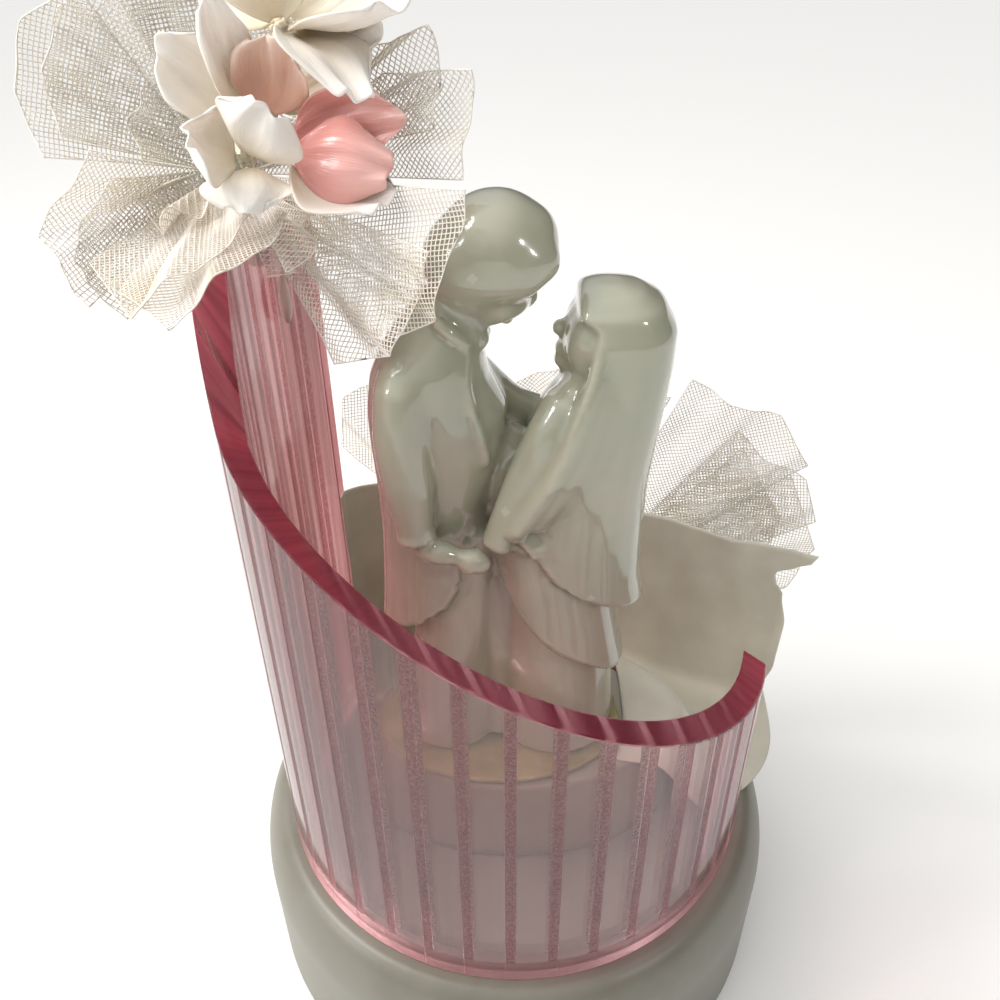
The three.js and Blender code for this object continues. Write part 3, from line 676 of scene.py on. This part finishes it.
# Hems in side view: x and z in millimetres from the couple's foot
VEIL_HEM = [(-1, 57.3), (2.5, 53), (7.5, 45.7), (12.5, 42), (17.7, 39.8), (23.8, 36.9), (32, 35)]
TIER_HEM = [(-4.6, 49.7), (-2, 43.5), (0.8, 37.4), (4.4, 32), (8.6, 27.7), (14.6, 24.4), (22.1, 18.7),
            (28, 15)]
COAT_HEM = [(-30, 26.5), (-24, 29), (-18, 32.5), (-12.5, 37), (-10.6, 41), (-9.8, 47), (-6, 53)]

# Cell sizes of the two remeshes of the casting
COARSE_CLAY = 0.55 * MM
FINE_CLAY = 0.48 * MM


def raise_hem(casting, hem, proud, tuck, fade, near):
    """Lifts the clay above a hem, given by x and z in side view, and tucks in the clay below it."""
    line = [Vector(p) for p in hem]
    moves = []
    for vertex in casting.data.vertices:
        x, z = vertex.co.x / MM, (vertex.co.z - COUPLE_FOOT) / MM
        best = None
        for start, end in zip(line, line[1:]):
            way = end - start
            place = min(max((Vector((x, z)) - start).dot(way) / way.length_squared, 0), 1)
            gap = Vector((x, z)) - (start + way * place)
            above = gap.dot(Vector((-way.y, way.x))) > 0
            if best is None or gap.length < best[0]:
                best = (gap.length, above)
        share = near(x, z) * math.exp(-best[0] / fade)
        moves.append(vertex.normal * MM * (proud if best[1] else -tuck) * share)
    for vertex, move in zip(casting.data.vertices, moves):
        vertex.co += move


def grab(casting, place, reach, move):
    """Pulls the clay inside a rounded region, given in millimetres from the couple's foot."""
    middle = at_couple(*place)
    for vertex in casting.data.vertices:
        away = Vector([(c - m) / (r * MM) for c, m, r in zip(vertex.co, middle, reach)]).length
        vertex.co += millimetres(move) * smooth_step(1 - away)


def soften(casting, place, reach, passes):
    """Smooths the casting inside a rounded region, given in millimetres from its foot."""
    middle = at_couple(*place)
    group = casting.vertex_groups.new(name="soft")
    for vertex in casting.data.vertices:
        away = Vector([(c - m) / (r * MM) for c, m, r in zip(vertex.co, middle, reach)]).length
        if away < 1:
            group.add([vertex.index], smooth_step(2 * (1 - away)), "REPLACE")
    apply_modifier(casting, "SMOOTH", factor=0.5, iterations=passes, vertex_group=group.name)
    casting.vertex_groups.clear()


def porcelain_couple():
    casting = placed("glazed_couple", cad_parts["porcelain_couple"].data.copy())
    edit(casting)
    bpy.ops.mesh.remove_doubles(threshold=0.01 * MM)
    object_mode()
    fill = [
        # The veil slopes back from its front ridge
        roll([(14.8, -6.6, 92), (14.4, -7.9, 86), (12.9, -9.5, 79.4), (10.1, -10.7, 71.5), (6.3, -11.3, 64.5),
              (2.6, -11.4, 58.6)], (2, 2.8, 3.2, 3.2, 3.1, 2.6)),
        roll([(16, -5, 92), (16, -6, 86), (15, -7.6, 79.4), (12.3, -8.7, 71.5), (8.5, -9.3, 64.5),
              (5, -9.4, 58.4)], (3, 4, 4.4, 4.4, 4.2, 3.4)),
        # Hair over the temples and the brow of the groom
        lump((-2.6, -3.6, 102.4), (9.8, 5.6, 6.0), (0, -12, 0)),
        lump((-2.6, 3.6, 102.4), (9.4, 5.4, 6.0), (0, -12, 0)),
        lump((1.7, 0, 105.4), (5.1, 7.0, 5.8)),
        # Cheeks and back of the head of the groom
        *pair((-2.6, -2.3, 96.6), (3.9, 4.2, 4.3), (0, 24, 0)),
        lump((-5.6, 0, 102.4), (9.4, 8.8, 8.6), (0, -20, 0)),
        # Cheeks of the bride, level with the edge of the veil
        *pair((12.6, -3.0, 89.6), (4.6, 5.2, 6.2), (0, 8, 0)),
        # Clay between the two bodies
        lump((-1.4, 0, 61), (5.4, 7.4, 11)),
        lump((3.2, -8.6, 53.4), (5.2, 4.6, 4.2)),
        roll([(-3.4, -2, 0.8), (-3.4, -2, 20), (-3.4, -2, 36), (-3.2, -2, 50)], (5.4, 5.2, 5, 4.6)),
    ]
    join(casting, fill)
    apply_modifier(casting, "REMESH", mode="VOXEL", voxel_size=COARSE_CLAY)
    apply_modifier(casting, "SMOOTH", factor=0.5, iterations=10)
    # Softer veil edge, shoulder and brow, then a higher chin and a hollow under the brow
    soften(casting, (10.4, 0, 97.6), (4.5, 10, 4), 40)
    soften(casting, (-13, -9, 86), (9, 7, 9), 20)
    soften(casting, (3.6, 0, 108), (8, 10, 7), 40)
    grab(casting, (-0.5, 0, 90.5), (6, 9, 5), (-1.8, 0, 2.4))
    grab(casting, (5.6, 0, 98.8), (4.5, 9, 4), (-0.8, 0, 1.6))
    details = [
        # Groom: nose, lips, chin, bow tie and collar
        lump((1.9, 0, 96.0), (1.7, 1.4, 2.1), (0, 10, 0)),
        lump((0.2, 0, 93.9), (1.2, 1.6, 0.7), (0, 30, 0)),
        lump((-1.8, 0, 92.5), (1.6, 2.0, 1.2), (0, 30, 0)),
        lump((-5.2, 0, 89.6), (1.3, 1.3, 1.4), (0, 20, 0)),
        *pair((-5.4, -2.6, 89.7), (1.2, 2.2, 1.7), (8, 20, 0)),
        *[roll([(-12.6, side * 6.6, 94.8), (-10.2, side * 6.9, 92.6), (-7.6, side * 6.2, 90)],
               (0.9, 1.2, 0.9)) for side in (-1, 1)],
        # Bride: nose, lips, chin
        lump((7.4, 0, 90.4), (1.5, 1.2, 1.5), (0, 12, 0)),
        lump((7.6, 0, 86.8), (1.2, 1.8, 1.0)),
        lump((8.2, 0, 84.8), (1.9, 2.2, 1.7)),
    ]
    join(casting, details)
    apply_modifier(casting, "REMESH", mode="VOXEL", voxel_size=FINE_CLAY)
    raise_hem(casting, VEIL_HEM, 0.7, 0.9, 5, lambda x, z: smooth_step((x + 3) / 4))
    raise_hem(casting, TIER_HEM, 0.6, 0.9, 5, lambda x, z: smooth_step((x + 5) / 3))
    raise_hem(casting, COAT_HEM, 0.6, 0.8, 5,
              lambda x, z: smooth_step((-6 - x) / 3) * smooth_step((54 - z) / 5))
    apply_modifier(casting, "SMOOTH", factor=0.5, iterations=4)
    return dress(casting, PORCELAIN, "porcelain", "porcelain_couple")


# Satin drape

# Path of the drape: angle, distance outside the screen's outer face, height of the lower and of the upper
# edge, in millimetres
DRAPE = [
    (150, -7.6, 0.3, 62), (135, -6.6, 0.3, 59), (113.5, -6, 0.3, 56), (90, -6.5, 0.3, 52), (66, -6, 0.3, 49),
    (45, -3.5, 0.3, 47.5), (28.4, 5.5, 0.6, 47), (20.1, 13.9, 3.5, 47.3), (16.5, 18.8, 6, 47.2),
]
DRAPE_FOLDS = 5
DRAPE_FOLD_DEPTH = 1.1 * MM


def along_points(points, t):
    """Smooth curve through points, for t from 0 to 1."""
    place = min(max(t, 0.0), 1.0) * (len(points) - 1)
    k = min(int(place), len(points) - 2)
    before, start = points[max(k - 1, 0)], points[k]
    end, after = points[k + 1], points[min(k + 2, len(points) - 1)]
    f = place - k
    return 0.5 * (2 * start + (end - before) * f + (2 * before - 5 * start + 4 * end - after) * f * f
                  + (3 * start - before - 3 * end + after) * f ** 3)


# Right end of the drape: height share, and how far the cloth runs along its path there
DRAPE_END = [(0, 0.87), (0.2, 0.905), (0.5, 0.91), (0.7, 0.885), (0.78, 0.858), (0.84, 0.85), (0.9, 0.91),
             (0.95, 0.97), (1, 1)]
# The laid part: distance of its hem from the axis at the back and at the open side, degrees that it sweeps
# on at the open side, length of its bend at the foot, of its slope beside the riser, and until it lies flat
DRAPE_HEM = (36 * MM, 23.5 * MM)
DRAPE_SWEEP = 45
DRAPE_BEND = 2.5 * MM
DRAPE_SLOPE = 13 * MM
DRAPE_SETTLE = 12 * MM
DRAPE_CREASE = 0.45 * MM
DRAPE_THICKNESS = 0.45 * MM


def drape_end(u):
    """How far the cloth runs along its path at a share of its height."""
    for (low, start), (high, end) in zip(DRAPE_END, DRAPE_END[1:]):
        if u <= high:
            return mix(start, end, smooth_step((u - low) / (high - low)))
    return DRAPE_END[-1][1]


def over_riser(point):
    """Lift of the laid cloth above the riser, with a slope beside it."""
    away = (point - (RISER_LOW + RISER_HIGH) / 2).xy
    half = (RISER_HIGH - RISER_LOW).xy / 2
    share = Vector((away.x / half.x, away.y / half.y)).length
    gap = away.length * (1 - 1 / max(share, 0.1))
    return (RISER_HIGH.z - DECK) * smooth_step(1 - gap / DRAPE_SLOPE)


def soft_ramp(length):
    """The length where it is positive and nothing where it is negative, with a soft start between."""
    return DRAPE_BEND * math.log1p(math.exp(min(length / DRAPE_BEND, 40)))


def satin_drape():
    foot = [polar(SCREEN_OUTER + out * MM, angle, DECK + low * MM) for angle, out, low, high in DRAPE]
    rim = [polar(SCREEN_OUTER + out * MM, angle, DECK + high * MM) for angle, out, low, high in DRAPE]

    def surface(share, v):
        low = along_points(foot, v)
        height = (along_points(rim, v) - low).length
        swept = smooth_step((v - 0.6) / 0.4)
        turn = math.degrees(math.atan2(low.y, low.x)) - DRAPE_SWEEP * swept
        inset = mix(*DRAPE_HEM, smooth_step((v - 0.45) / 0.35))
        hem = polar(inset, turn, DECK + SEAT)
        laid = (low - hem).xy.length
        run = mix(-laid, height, share)
        u = min(max(run / height, 0), 1)
        place = v * drape_end(u)
        base = along_points(foot, place)
        way = along_points(foot, place + 0.002) - along_points(foot, place - 0.002)
        side = Vector((-way.y, way.x, 0)).normalized()
        drawn = soft_ramp(-run) / laid
        reach = mix(base.xy.length, inset, drawn ** (1 + swept))
        deck_place = polar(reach, mix(math.degrees(math.atan2(base.y, base.x)), turn, drawn))
        inward = deck_place - Vector((base.x, base.y, 0))
        climb = mix(base, along_points(rim, place), min(soft_ramp(run) / height, 1))
        fold = DRAPE_FOLD_DEPTH * u * math.sin(2 * math.pi * DRAPE_FOLDS * place)
        fold *= smooth_step((0.9 - place) / 0.3)
        crease = DRAPE_CREASE * noise.noise(Vector((place * 22, share * 5, 3))) * min(1, 4 * u)
        point = climb + inward + side * (fold + crease)
        point.z = mix(point.z, min(point.z, DECK + SEAT), smooth_step(-run / DRAPE_SETTLE))
        point.z += over_riser(point)
        return point

    drape = grid_sheet("satin_drape_cloth", surface, 170, 80)
    apply_modifier(drape, "SOLIDIFY", thickness=DRAPE_THICKNESS, offset=0)
    dress(drape, SATIN, "cream_satin", "satin_drape")


# Tulle

NET_CELL = 0.72 * MM
NET_THREAD = 0.27 * MM
NET_RIPPLE = 0.25 * MM
NET_CRUMPLE = 0.7 * MM
CRUMPLE_WAVE = 9 * MM
NET_PLEATS = 2
LEAF_GAP = 1.6 * MM
FRILL_GAP = 4 * MM
GATHER_GAP = 0.65 * MM
INNER_LEAF = 0.93
FRILL_LEAF = 0.5
BACK_PLEAT = 1.2 * MM
TOP_PLEAT = 1.0 * MM
BACK_LINE = millimetres((4, 0, 0))
TOP_LINE = 2.4 * MM


def net_facet(flat, first, sides):
    """One flat facet of a net between two corners of its hem: square cells on the bias, cut to the facet.
    Each knot keeps its share from the gather to the hem, and its place along the hem."""
    step = NET_CELL * math.sqrt(2)
    a, b = flat[first], flat[first + 1]
    low = [min(0, a[k], b[k]) for k in (0, 1)]
    high = [max(0, a[k], b[k]) for k in (0, 1)]
    start = [math.floor(low[k] / step) - 1 for k in (0, 1)]
    count = [math.ceil(high[k] / step) + 1 - start[k] for k in (0, 1)]
    bm = bmesh.new()
    knots = {}

    def knot(i, j):
        if (i, j) not in knots:
            knots[i, j] = bm.verts.new(((start[0] + i / 2) * step, (start[1] + j / 2) * step, 0))
        return knots[i, j]

    for i in range(1, 2 * count[0]):
        for j in range(1, 2 * count[1]):
            if (i + j) % 2 == 1:
                bm.faces.new([knot(i - 1, j), knot(i, j - 1), knot(i + 1, j), knot(i, j + 1)])
    for start_point, end_point in ((Vector((0, 0)), a), (a, b), (b, Vector((0, 0)))):
        way = end_point - start_point
        bmesh.ops.bisect_plane(bm, geom=[*bm.verts, *bm.edges, *bm.faces], plane_co=(*start_point, 0),
                               plane_no=(way.y, -way.x, 0), clear_outer=True)
    share = bm.verts.layers.float.new("share")
    along = bm.verts.layers.float.new("along")
    size = a.x * b.y - a.y * b.x
    for vertex in bm.verts:
        toward_a = (vertex.co.x * b.y - vertex.co.y * b.x) / size
        toward_b = (a.x * vertex.co.y - a.y * vertex.co.x) / size
        vertex[share] = toward_a + toward_b
        vertex[along] = (first + toward_b / max(toward_a + toward_b, 1e-9)) / sides
    return bm


def pour(source, target):
    """Adds a mesh in the making to another one and frees it."""
    mesh = bpy.data.meshes.new("poured")
    source.to_mesh(mesh)
    source.free()
    target.from_mesh(mesh)
    bpy.data.meshes.remove(mesh)


def net_leaf(whole, corners, gather, line, bend):
    """Adds one leaf of net to a mesh: a fan of facets, laid out flat from the gather so that the cells run on
    over the creases, then set in place and bent."""
    sides = len(corners) - 1
    flat, turn = [], 0.0
    for k, corner in enumerate(corners):
        if k:
            turn += (corners[k - 1] - gather).angle(corner - gather)
        flat.append(Vector((math.cos(turn), math.sin(turn))) * (corner - gather).length)
    leaf = bmesh.new()
    for k in range(sides):
        pour(net_facet(flat, k, sides), leaf)
    bmesh.ops.remove_doubles(leaf, verts=leaf.verts, dist=1e-7)
    share = leaf.verts.layers.float["share"]
    along = leaf.verts.layers.float["along"]

    def on_crease(vertex):
        place = vertex[along] * sides
        return abs(place - round(place)) < 1e-5 and 0 < round(place) < sides

    creases = [e for e in leaf.edges if all(on_crease(v) for v in e.verts) and len(e.link_faces) == 2]
    bmesh.ops.dissolve_edges(leaf, edges=creases, use_verts=True)
    for vertex in leaf.verts:
        u, v = vertex[share], vertex[along]
        k = min(int(v * sides), sides - 1)
        hem = mix(corners[k], corners[k + 1], v * sides - k)
        vertex.co = mix(gather, hem, u) + line * (v - 0.5) * (1 - u) ** 2 + bend(u, v, mix(gather, hem, u))
    pour(leaf, whole)


def gathered_net(name, node, gather, line, hem, depth, lean, puff=False):
    """A folded piece of net: two leaves gathered at one place and spread to a hem with sharp corners,
    and a short third one, a frill, where it puffs out."""
    corners = [Vector(p) for p in hem]
    middle = (corners[0] + corners[-1]) / 2
    normal = (middle - gather).cross(corners[-1] - corners[0]).normalized()
    seed = sum(ord(letter) for letter in name)

    def bend(step, loose=1.0):
        def offset(u, v, point):
            fold = depth * loose * u * math.sin(2 * math.pi * NET_PLEATS * v + step)
            ripple = NET_RIPPLE * u * math.sin(2 * math.pi * (2 * NET_PLEATS + 1) * v + seed + step)
            crumple = NET_CRUMPLE * u * noise.noise(point / CRUMPLE_WAVE + Vector((seed, step, 0)))
            return normal * (fold + ripple + crumple)
        return offset

    turn = Matrix.Rotation(math.radians(lean), 3, normal)
    inner = [gather + turn @ (corner - gather) * INNER_LEAF + normal * LEAF_GAP for corner in corners]
    bm = bmesh.new()
    net_leaf(bm, corners, gather, line, bend(0))
    net_leaf(bm, inner, gather, line, bend(1.1))
    if puff:
        frill = [gather + (turn @ (corner - gather)) * FRILL_LEAF + normal * FRILL_GAP for corner in corners]
        net_leaf(bm, frill, gather, line, bend(2.3, 2.2))
    net = mesh_object(name, bm)
    apply_modifier(net, "WIREFRAME", thickness=NET_THREAD, use_even_offset=False, use_boundary=True)
    dress(net, TULLE, "tulle", node)
    return net


# Hem corners in millimetres from the gather's own origin, and the lean of the inner leaf in degrees, towards
# the last corner where it is positive
BACK_NETS = {
    "right": (13, [(32, -1.8, 75.6), (41, -2.8, 70), (52.6, -3.8, 67.3), (60, -5.8, 55.6)]),
    "low": (-9, [(58, -1, 50), (66.8, -4, 29), (61, -4.5, 17)]),
    "left": (6, [(-47.6, -1.8, 58), (-46, -1.4, 71), (-29, 0.6, 77)]),
    "middle": (8, [(-7, 2.2, 72.5), (6, 2.2, 78.4), (21, 1.6, 76)]),
}
TOP_NETS = {
    "left": (205, 9, [(-25.1, -16.1, 9.9), (-33.4, -21.1, -1.6), (-27.8, -23.1, -11.9)]),
    "front": (255, -9, [(-23, -25.3, -7.4), (-10.4, -39.1, -7.3), (-2.6, -32.1, -2.6), (4.5, -22.1, 2)]),
    "low_right": (305, -10, [(15.8, -25.1, -17.7), (26, -32.1, -9.6), (30.7, -30.1, 8.8)]),
    "right": (352, 9, [(30.2, -20.1, 6.8), (31.7, -16.1, 20.8), (18, -6, 18)]),
    "high_left": (158, -9, [(-27, -2, 30), (-35.4, -4.1, 25.2), (-38.4, -6.1, 15.8), (-35.7, -8.1, 6.3)]),
    "back": (100, 9, [(12, 20, 28), (-3, 19, 34), (-15.9, 13, 33.4), (-24.9, 5, 29)]),
}


def tulle_pieces():
    for layer, (name, (lean, hem)) in enumerate(BACK_NETS.items()):
        gather = BACK + millimetres((0, 1.1 * (layer - 1.5), 4.1))
        gathered_net(f"back_net_{name}", f"back_tulle_{name}", gather, BACK_LINE,
                     [BACK + millimetres(p) for p in hem], BACK_PLEAT, lean)
    for name, (angle, lean, hem) in TOP_NETS.items():
        gather = BUNDLE + polar(BUNDLE_RADIUS + GATHER_GAP, angle)
        gathered_net(f"top_net_{name}", f"top_tulle_{name}", gather, polar(TOP_LINE, angle + 90),
                     [BOUQUET + millimetres(p) for p in hem], TOP_PLEAT, lean, True)


# Flowers: an eye on a wire stem, and petals of (root, tip, towards, width, cup, bow, finish) in millimetres
# from the middle of the bouquet. A root gives the side of the eye where the petal is seated.
UP = (0, 0, 1)
FRONT = (0, -1, 0.3)
LEFT = (-1, -0.3, 0.3)
FLOWERS = {
    "blossom": ((4, -7, 24), 2, (0.9, 0.9), {
        "cream": ((7.6, -9, 26.5), (23, -14, 29), UP, 17, 2.4, 1.5, "white"),
        "veined": ((6.5, -11.5, 24.5), (17, -22.5, 18.5), (0.6, -0.5, 0.8), 14, 1.8, -1.6, "white"),
        "high": ((3.6, -8.6, 27), (2, -12, 39), FRONT, 13, 2.4, 1.2, "white"),
        "back_left": ((1.4, -4.6, 25.5), (-7, 5, 34), (-0.3, -0.6, 0.8), 14, 2, 1.5, "white"),
        "back_right": ((6.4, -4.6, 26), (17, 4, 33), (0.3, -0.6, 0.8), 14, 2, 1.5, "white"),
    }),
    "peach": ((0.6, -10.6, 13.4), 1.7, (-0.9, 0.9), {
        "inner": ((2.4, -13.4, 15), (4.4, -16, 25.4), FRONT, 12, 1.8, 1, "peach"),
        "narrow": ((-3.8, -13.6, 15.4), (-3.8, -16.6, 31), (0.5, -1, 0.2), 8, 1.6, 1, "white"),
        "left": ((-2.6, -11.4, 14.4), (-13, -13, 24), (0, -1, 0.5), 13, 1.8, 1.2, "white"),
        "right": ((3.6, -10.4, 15.8), (18.5, -10.2, 25), (-0.4, -1, 0.6), 11, 1.4, 1, "white"),
    }),
    "cup": ((5, -16.2, 9.8), 1.5, (0.9, -0.9), {
        "lower": ((6.4, -18.6, 9.8), (20.6, -23.4, 9.4), (-0.1, -1, 0.5), 12, -2.6, -2.4, "pink"),
        "upper": ((6.2, -14.4, 13.4), (21.8, -17.8, 15.2), (0.1, -1, 0.3), 12, 2, 1.4, "pink"),
        "outer": ((6.4, -18, 7.6), (20, -24.4, 5), (-0.1, -0.5, 1), 15, 3.6, 1.8, "white"),
    }),
    "bud": ((-1, -19.4, 9.6), 1.4, (-0.9, -0.9), {
        "left": ((-2.6, -20.8, 9.8), (-7.4, -25, 15), LEFT, 12, -2.6, -1.8, "white"),
        "top": ((0.2, -21.2, 11.2), (4, -24.6, 18.6), FRONT, 13, -2.4, -1.8, "white"),
        "low": ((0, -21.4, 8.4), (-0.6, -26.6, 4.4), (0, -0.6, 1), 13, -2, -1.6, "white"),
    }),
}
PETAL_FINISH = {"white": WHITE_PETAL, "peach": PEACH_PETAL, "pink": PINK_PETAL}
PETAL_THICKNESS = 0.28 * MM
PETAL_RUFFLE = 0.8 * MM
PETAL_CREASE = 0.8 * MM
PETAL_PLEAT = 0.35 * MM
PETAL_VEIN = 0.03 * MM
PETAL_SEAT = 0.15 * MM
STEM_RADII = (0.7, 0.7, 0.7)
STEM_START = 2.65
BEADS = 14
BEAD_TURN = 2.4
TAPE_LAP = 4 * MM
TAPE_STEP = 0.08
TAPE_SLIM = (0.8, 0.97)


def petal(name, node, root, tip, towards, width, cup, bow, finish):
    along = tip - root
    side = along.cross(towards).normalized()
    normal = side.cross(along).normalized()
    seed = sum(ord(letter) for letter in name)

    def surface(u, v):
        w = 2 * v - 1
        uneven = 1 + 0.07 * math.sin(8 * u + seed)
        half = width / 2 * math.sin(math.pi * (0.03 + 0.82 * u)) ** 0.7 * uneven
        lift = cup * w * w * math.sin(math.pi * (0.04 + 0.86 * u)) - bow * math.sin(math.pi * u)
        rim = max(abs(w) ** 3, u ** 4)
        ruffle = PETAL_RUFFLE * rim * math.sin(5 * u * w + 3 * w + seed)
        crease = PETAL_CREASE * u * noise.noise(Vector((2.2 * u, 2.6 * w, seed)))
        vein = PETAL_VEIN * math.cos(9 * math.pi * w) * math.sin(math.pi * u)
        crease += PETAL_PLEAT * smooth_step(1.6 * u) * math.sin(8 * w + 2 * u + seed)
        point = root + along * u * (1 - 0.2 * w * w + 0.04 * u * math.sin(5 * w + seed))
        return point + side * half * w + normal * (lift + ruffle + crease + vein)

    blade = grid_sheet(name, surface, 44, 40)
    apply_modifier(blade, "SOLIDIFY", thickness=PETAL_THICKNESS, offset=0)
    return dress(blade, PETAL_FINISH[finish], f"{finish}_petal", node)


def flower_eye(name, node, center, size):
    """A round flower eye set with seed beads."""
    bpy.ops.mesh.primitive_ico_sphere_add(subdivisions=3, radius=size * 0.8, location=center)
    eye = added(name)
    beads = []
    for k in range(BEADS):
        height = 1 - 2 * (k + 0.5) / BEADS
        round_out = math.sqrt(1 - height * height)
        out = Vector((round_out * math.cos(BEAD_TURN * k), round_out * math.sin(BEAD_TURN * k), height))
        bpy.ops.mesh.primitive_ico_sphere_add(subdivisions=2, radius=size * 0.3,
                                              location=center + out * size * 0.75)
        beads.append(added("bead"))
    join(eye, beads)
    return dress(eye, WHITE_PETAL, "white_petal", node)


def flower_pieces():
    for name, (eye, size, foot, petals) in FLOWERS.items():
        center = BOUQUET + millimetres(eye)
        reach = size * MM
        flower_eye(f"{name}_center", f"{name}_eye", center, reach)
        low = BUNDLE + millimetres((*foot, STEM_START))
        bend = mix(low, center, 0.45) + millimetres((0, 1.5, 2.5))
        top = center - (center - bend).normalized() * (reach + SEAT)
        stem = tube(f"{name}_wire", [low, bend, top], STEM_RADII)
        dress(stem, TAPE, "stem_wire", f"{name}_stem")
        for part, (root, tip, towards, width, cup, bow, finish) in petals.items():
            away = (BOUQUET + millimetres(root) - center).normalized()
            seat = center + away * (reach + SEAT + PETAL_SEAT)
            petal(f"{name}_blade_{part}", f"{name}_petal_{part}", seat, BOUQUET + millimetres(tip),
                  Vector(towards), width * MM, cup * MM, bow * MM, finish)


def bound_stems():
    low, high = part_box("floral_tape")
    length = high.z - low.z
    bpy.ops.mesh.primitive_cylinder_add(vertices=64, radius=BUNDLE_RADIUS, depth=length,
                                        location=(BUNDLE.x, BUNDLE.y, (low.z + high.z) / 2))
    bundle = added("bound_stems")
    edit(bundle, "DESELECT")
    object_mode()
    for side in bundle.data.edges:
        a, b = (bundle.data.vertices[k].co for k in side.vertices)
        side.select = abs(a.z - b.z) > length / 2
    bpy.ops.object.mode_set(mode="EDIT")
    bpy.ops.mesh.subdivide(number_cuts=60)
    object_mode()
    for vertex in bundle.data.vertices:
        out = Vector((vertex.co.x - BUNDLE.x, vertex.co.y - BUNDLE.y, 0))
        turn = math.atan2(out.y, out.x) / (2 * math.pi)
        lap = ((vertex.co.z - low.z) / TAPE_LAP + turn) % 1
        slim = mix(*TAPE_SLIM, (vertex.co.z - low.z) / length)
        vertex.co += out * (slim - 1 + TAPE_STEP * lap * (abs(out.length) > 0.5 * BUNDLE_RADIUS))
    return dress(bundle, TAPE, "floral_tape", "floral_tape", angle=40)


# Floor, light and camera

# Brightness of the backdrop, and of the studio dome at its dark and at its bright side, up on the left
SKY_BRIGHT = (-0.5, 0.05, 0.865)
BACKDROP = 0.86
SKY_LOW = 0.04
SKY_HIGH = 1.4

# Camera: place in metres, angles down, sideways and rolled in degrees, lens and sensor in millimetres
CAMERA_PLACE = (0, -0.14771, 0.22516)
CAMERA_TURN = (36.72, -1.07, -0.46)
CAMERA_LENS = 36
CAMERA_SENSOR = 36


def stage():
    bpy.ops.mesh.primitive_plane_add(size=8, location=(0, 0, -0.0005))
    floor = added("floor")
    floor.data.materials.append(floor_paper())
    scene = bpy.context.scene
    scene.view_settings.view_transform = "Standard"
    world = bpy.data.worlds.new("studio")
    world.use_nodes = True
    add = partial(add_node, world.node_tree)
    way = add("TexCoord").outputs["Generated"]
    toward = add("VectorMath", {0: way, 1: SKY_BRIGHT}, operation="DOT_PRODUCT")
    dome = add("MapRange", {"Value": toward, "To Min": SKY_LOW, "To Max": SKY_HIGH},
               interpolation_type="SMOOTHSTEP")
    seen = add("LightPath").outputs["Is Camera Ray"]
    shown = add("MapRange", {"Value": seen, "To Min": dome, "To Max": BACKDROP})
    fill_inputs(world.node_tree.nodes["Background"], {"Color": (1, 1, 1, 1), "Strength": shown})
    scene.world = world


def lamp(name, place, aim, size, power, color=(1, 1, 1)):
    light = bpy.data.lights.new(name, "AREA")
    light.shape = "DISK"
    light.size = size
    light.energy = power
    light.color = color
    obj = placed(name, light)
    obj.location = place
    obj.rotation_mode = "QUATERNION"
    obj.rotation_quaternion = (Vector(aim) - Vector(place)).to_track_quat("-Z", "Y")


def lights():
    lamp("left_window", (-0.34, -0.02, 0.5), (0, 0, 0.16), 0.2, 1.6, (1, 0.95, 0.9))
    lamp("left_spark", (-0.6, -0.25, 0.42), (0, 0, 0.14), 0.09, 0.6)
    lamp("right_spark", (0.5, -0.4, 0.5), (0, 0, 0.14), 0.09, 0.6)


def camera():
    """The photograph's view: a short lens, close to the couple and a little above their heads."""
    down, turn, roll_angle = (math.radians(angle) for angle in CAMERA_TURN)
    ahead = Vector((math.sin(turn) * math.cos(down), math.cos(turn) * math.cos(down), -math.sin(down)))
    level = ahead.cross(Vector((0, 0, 1))).normalized()
    upright = level.cross(ahead)
    right = level * math.cos(roll_angle) + upright * math.sin(roll_angle)
    up = upright * math.cos(roll_angle) - level * math.sin(roll_angle)
    lens = bpy.data.cameras.new("photo_view")
    lens.sensor_width = CAMERA_SENSOR
    lens.lens = CAMERA_LENS
    lens.clip_start = 0.005
    view = placed("photo_view", lens)
    facing = Matrix((right, up, -ahead)).transposed().to_4x4()
    view.matrix_world = Matrix.Translation(CAMERA_PLACE) @ facing
    bpy.context.scene.camera = view


camera()
stage()
lights()
base_pieces()
acrylic_screen()
glue_drip()
porcelain_couple()
satin_drape()
tulle_pieces()
flower_pieces()
bound_stems()
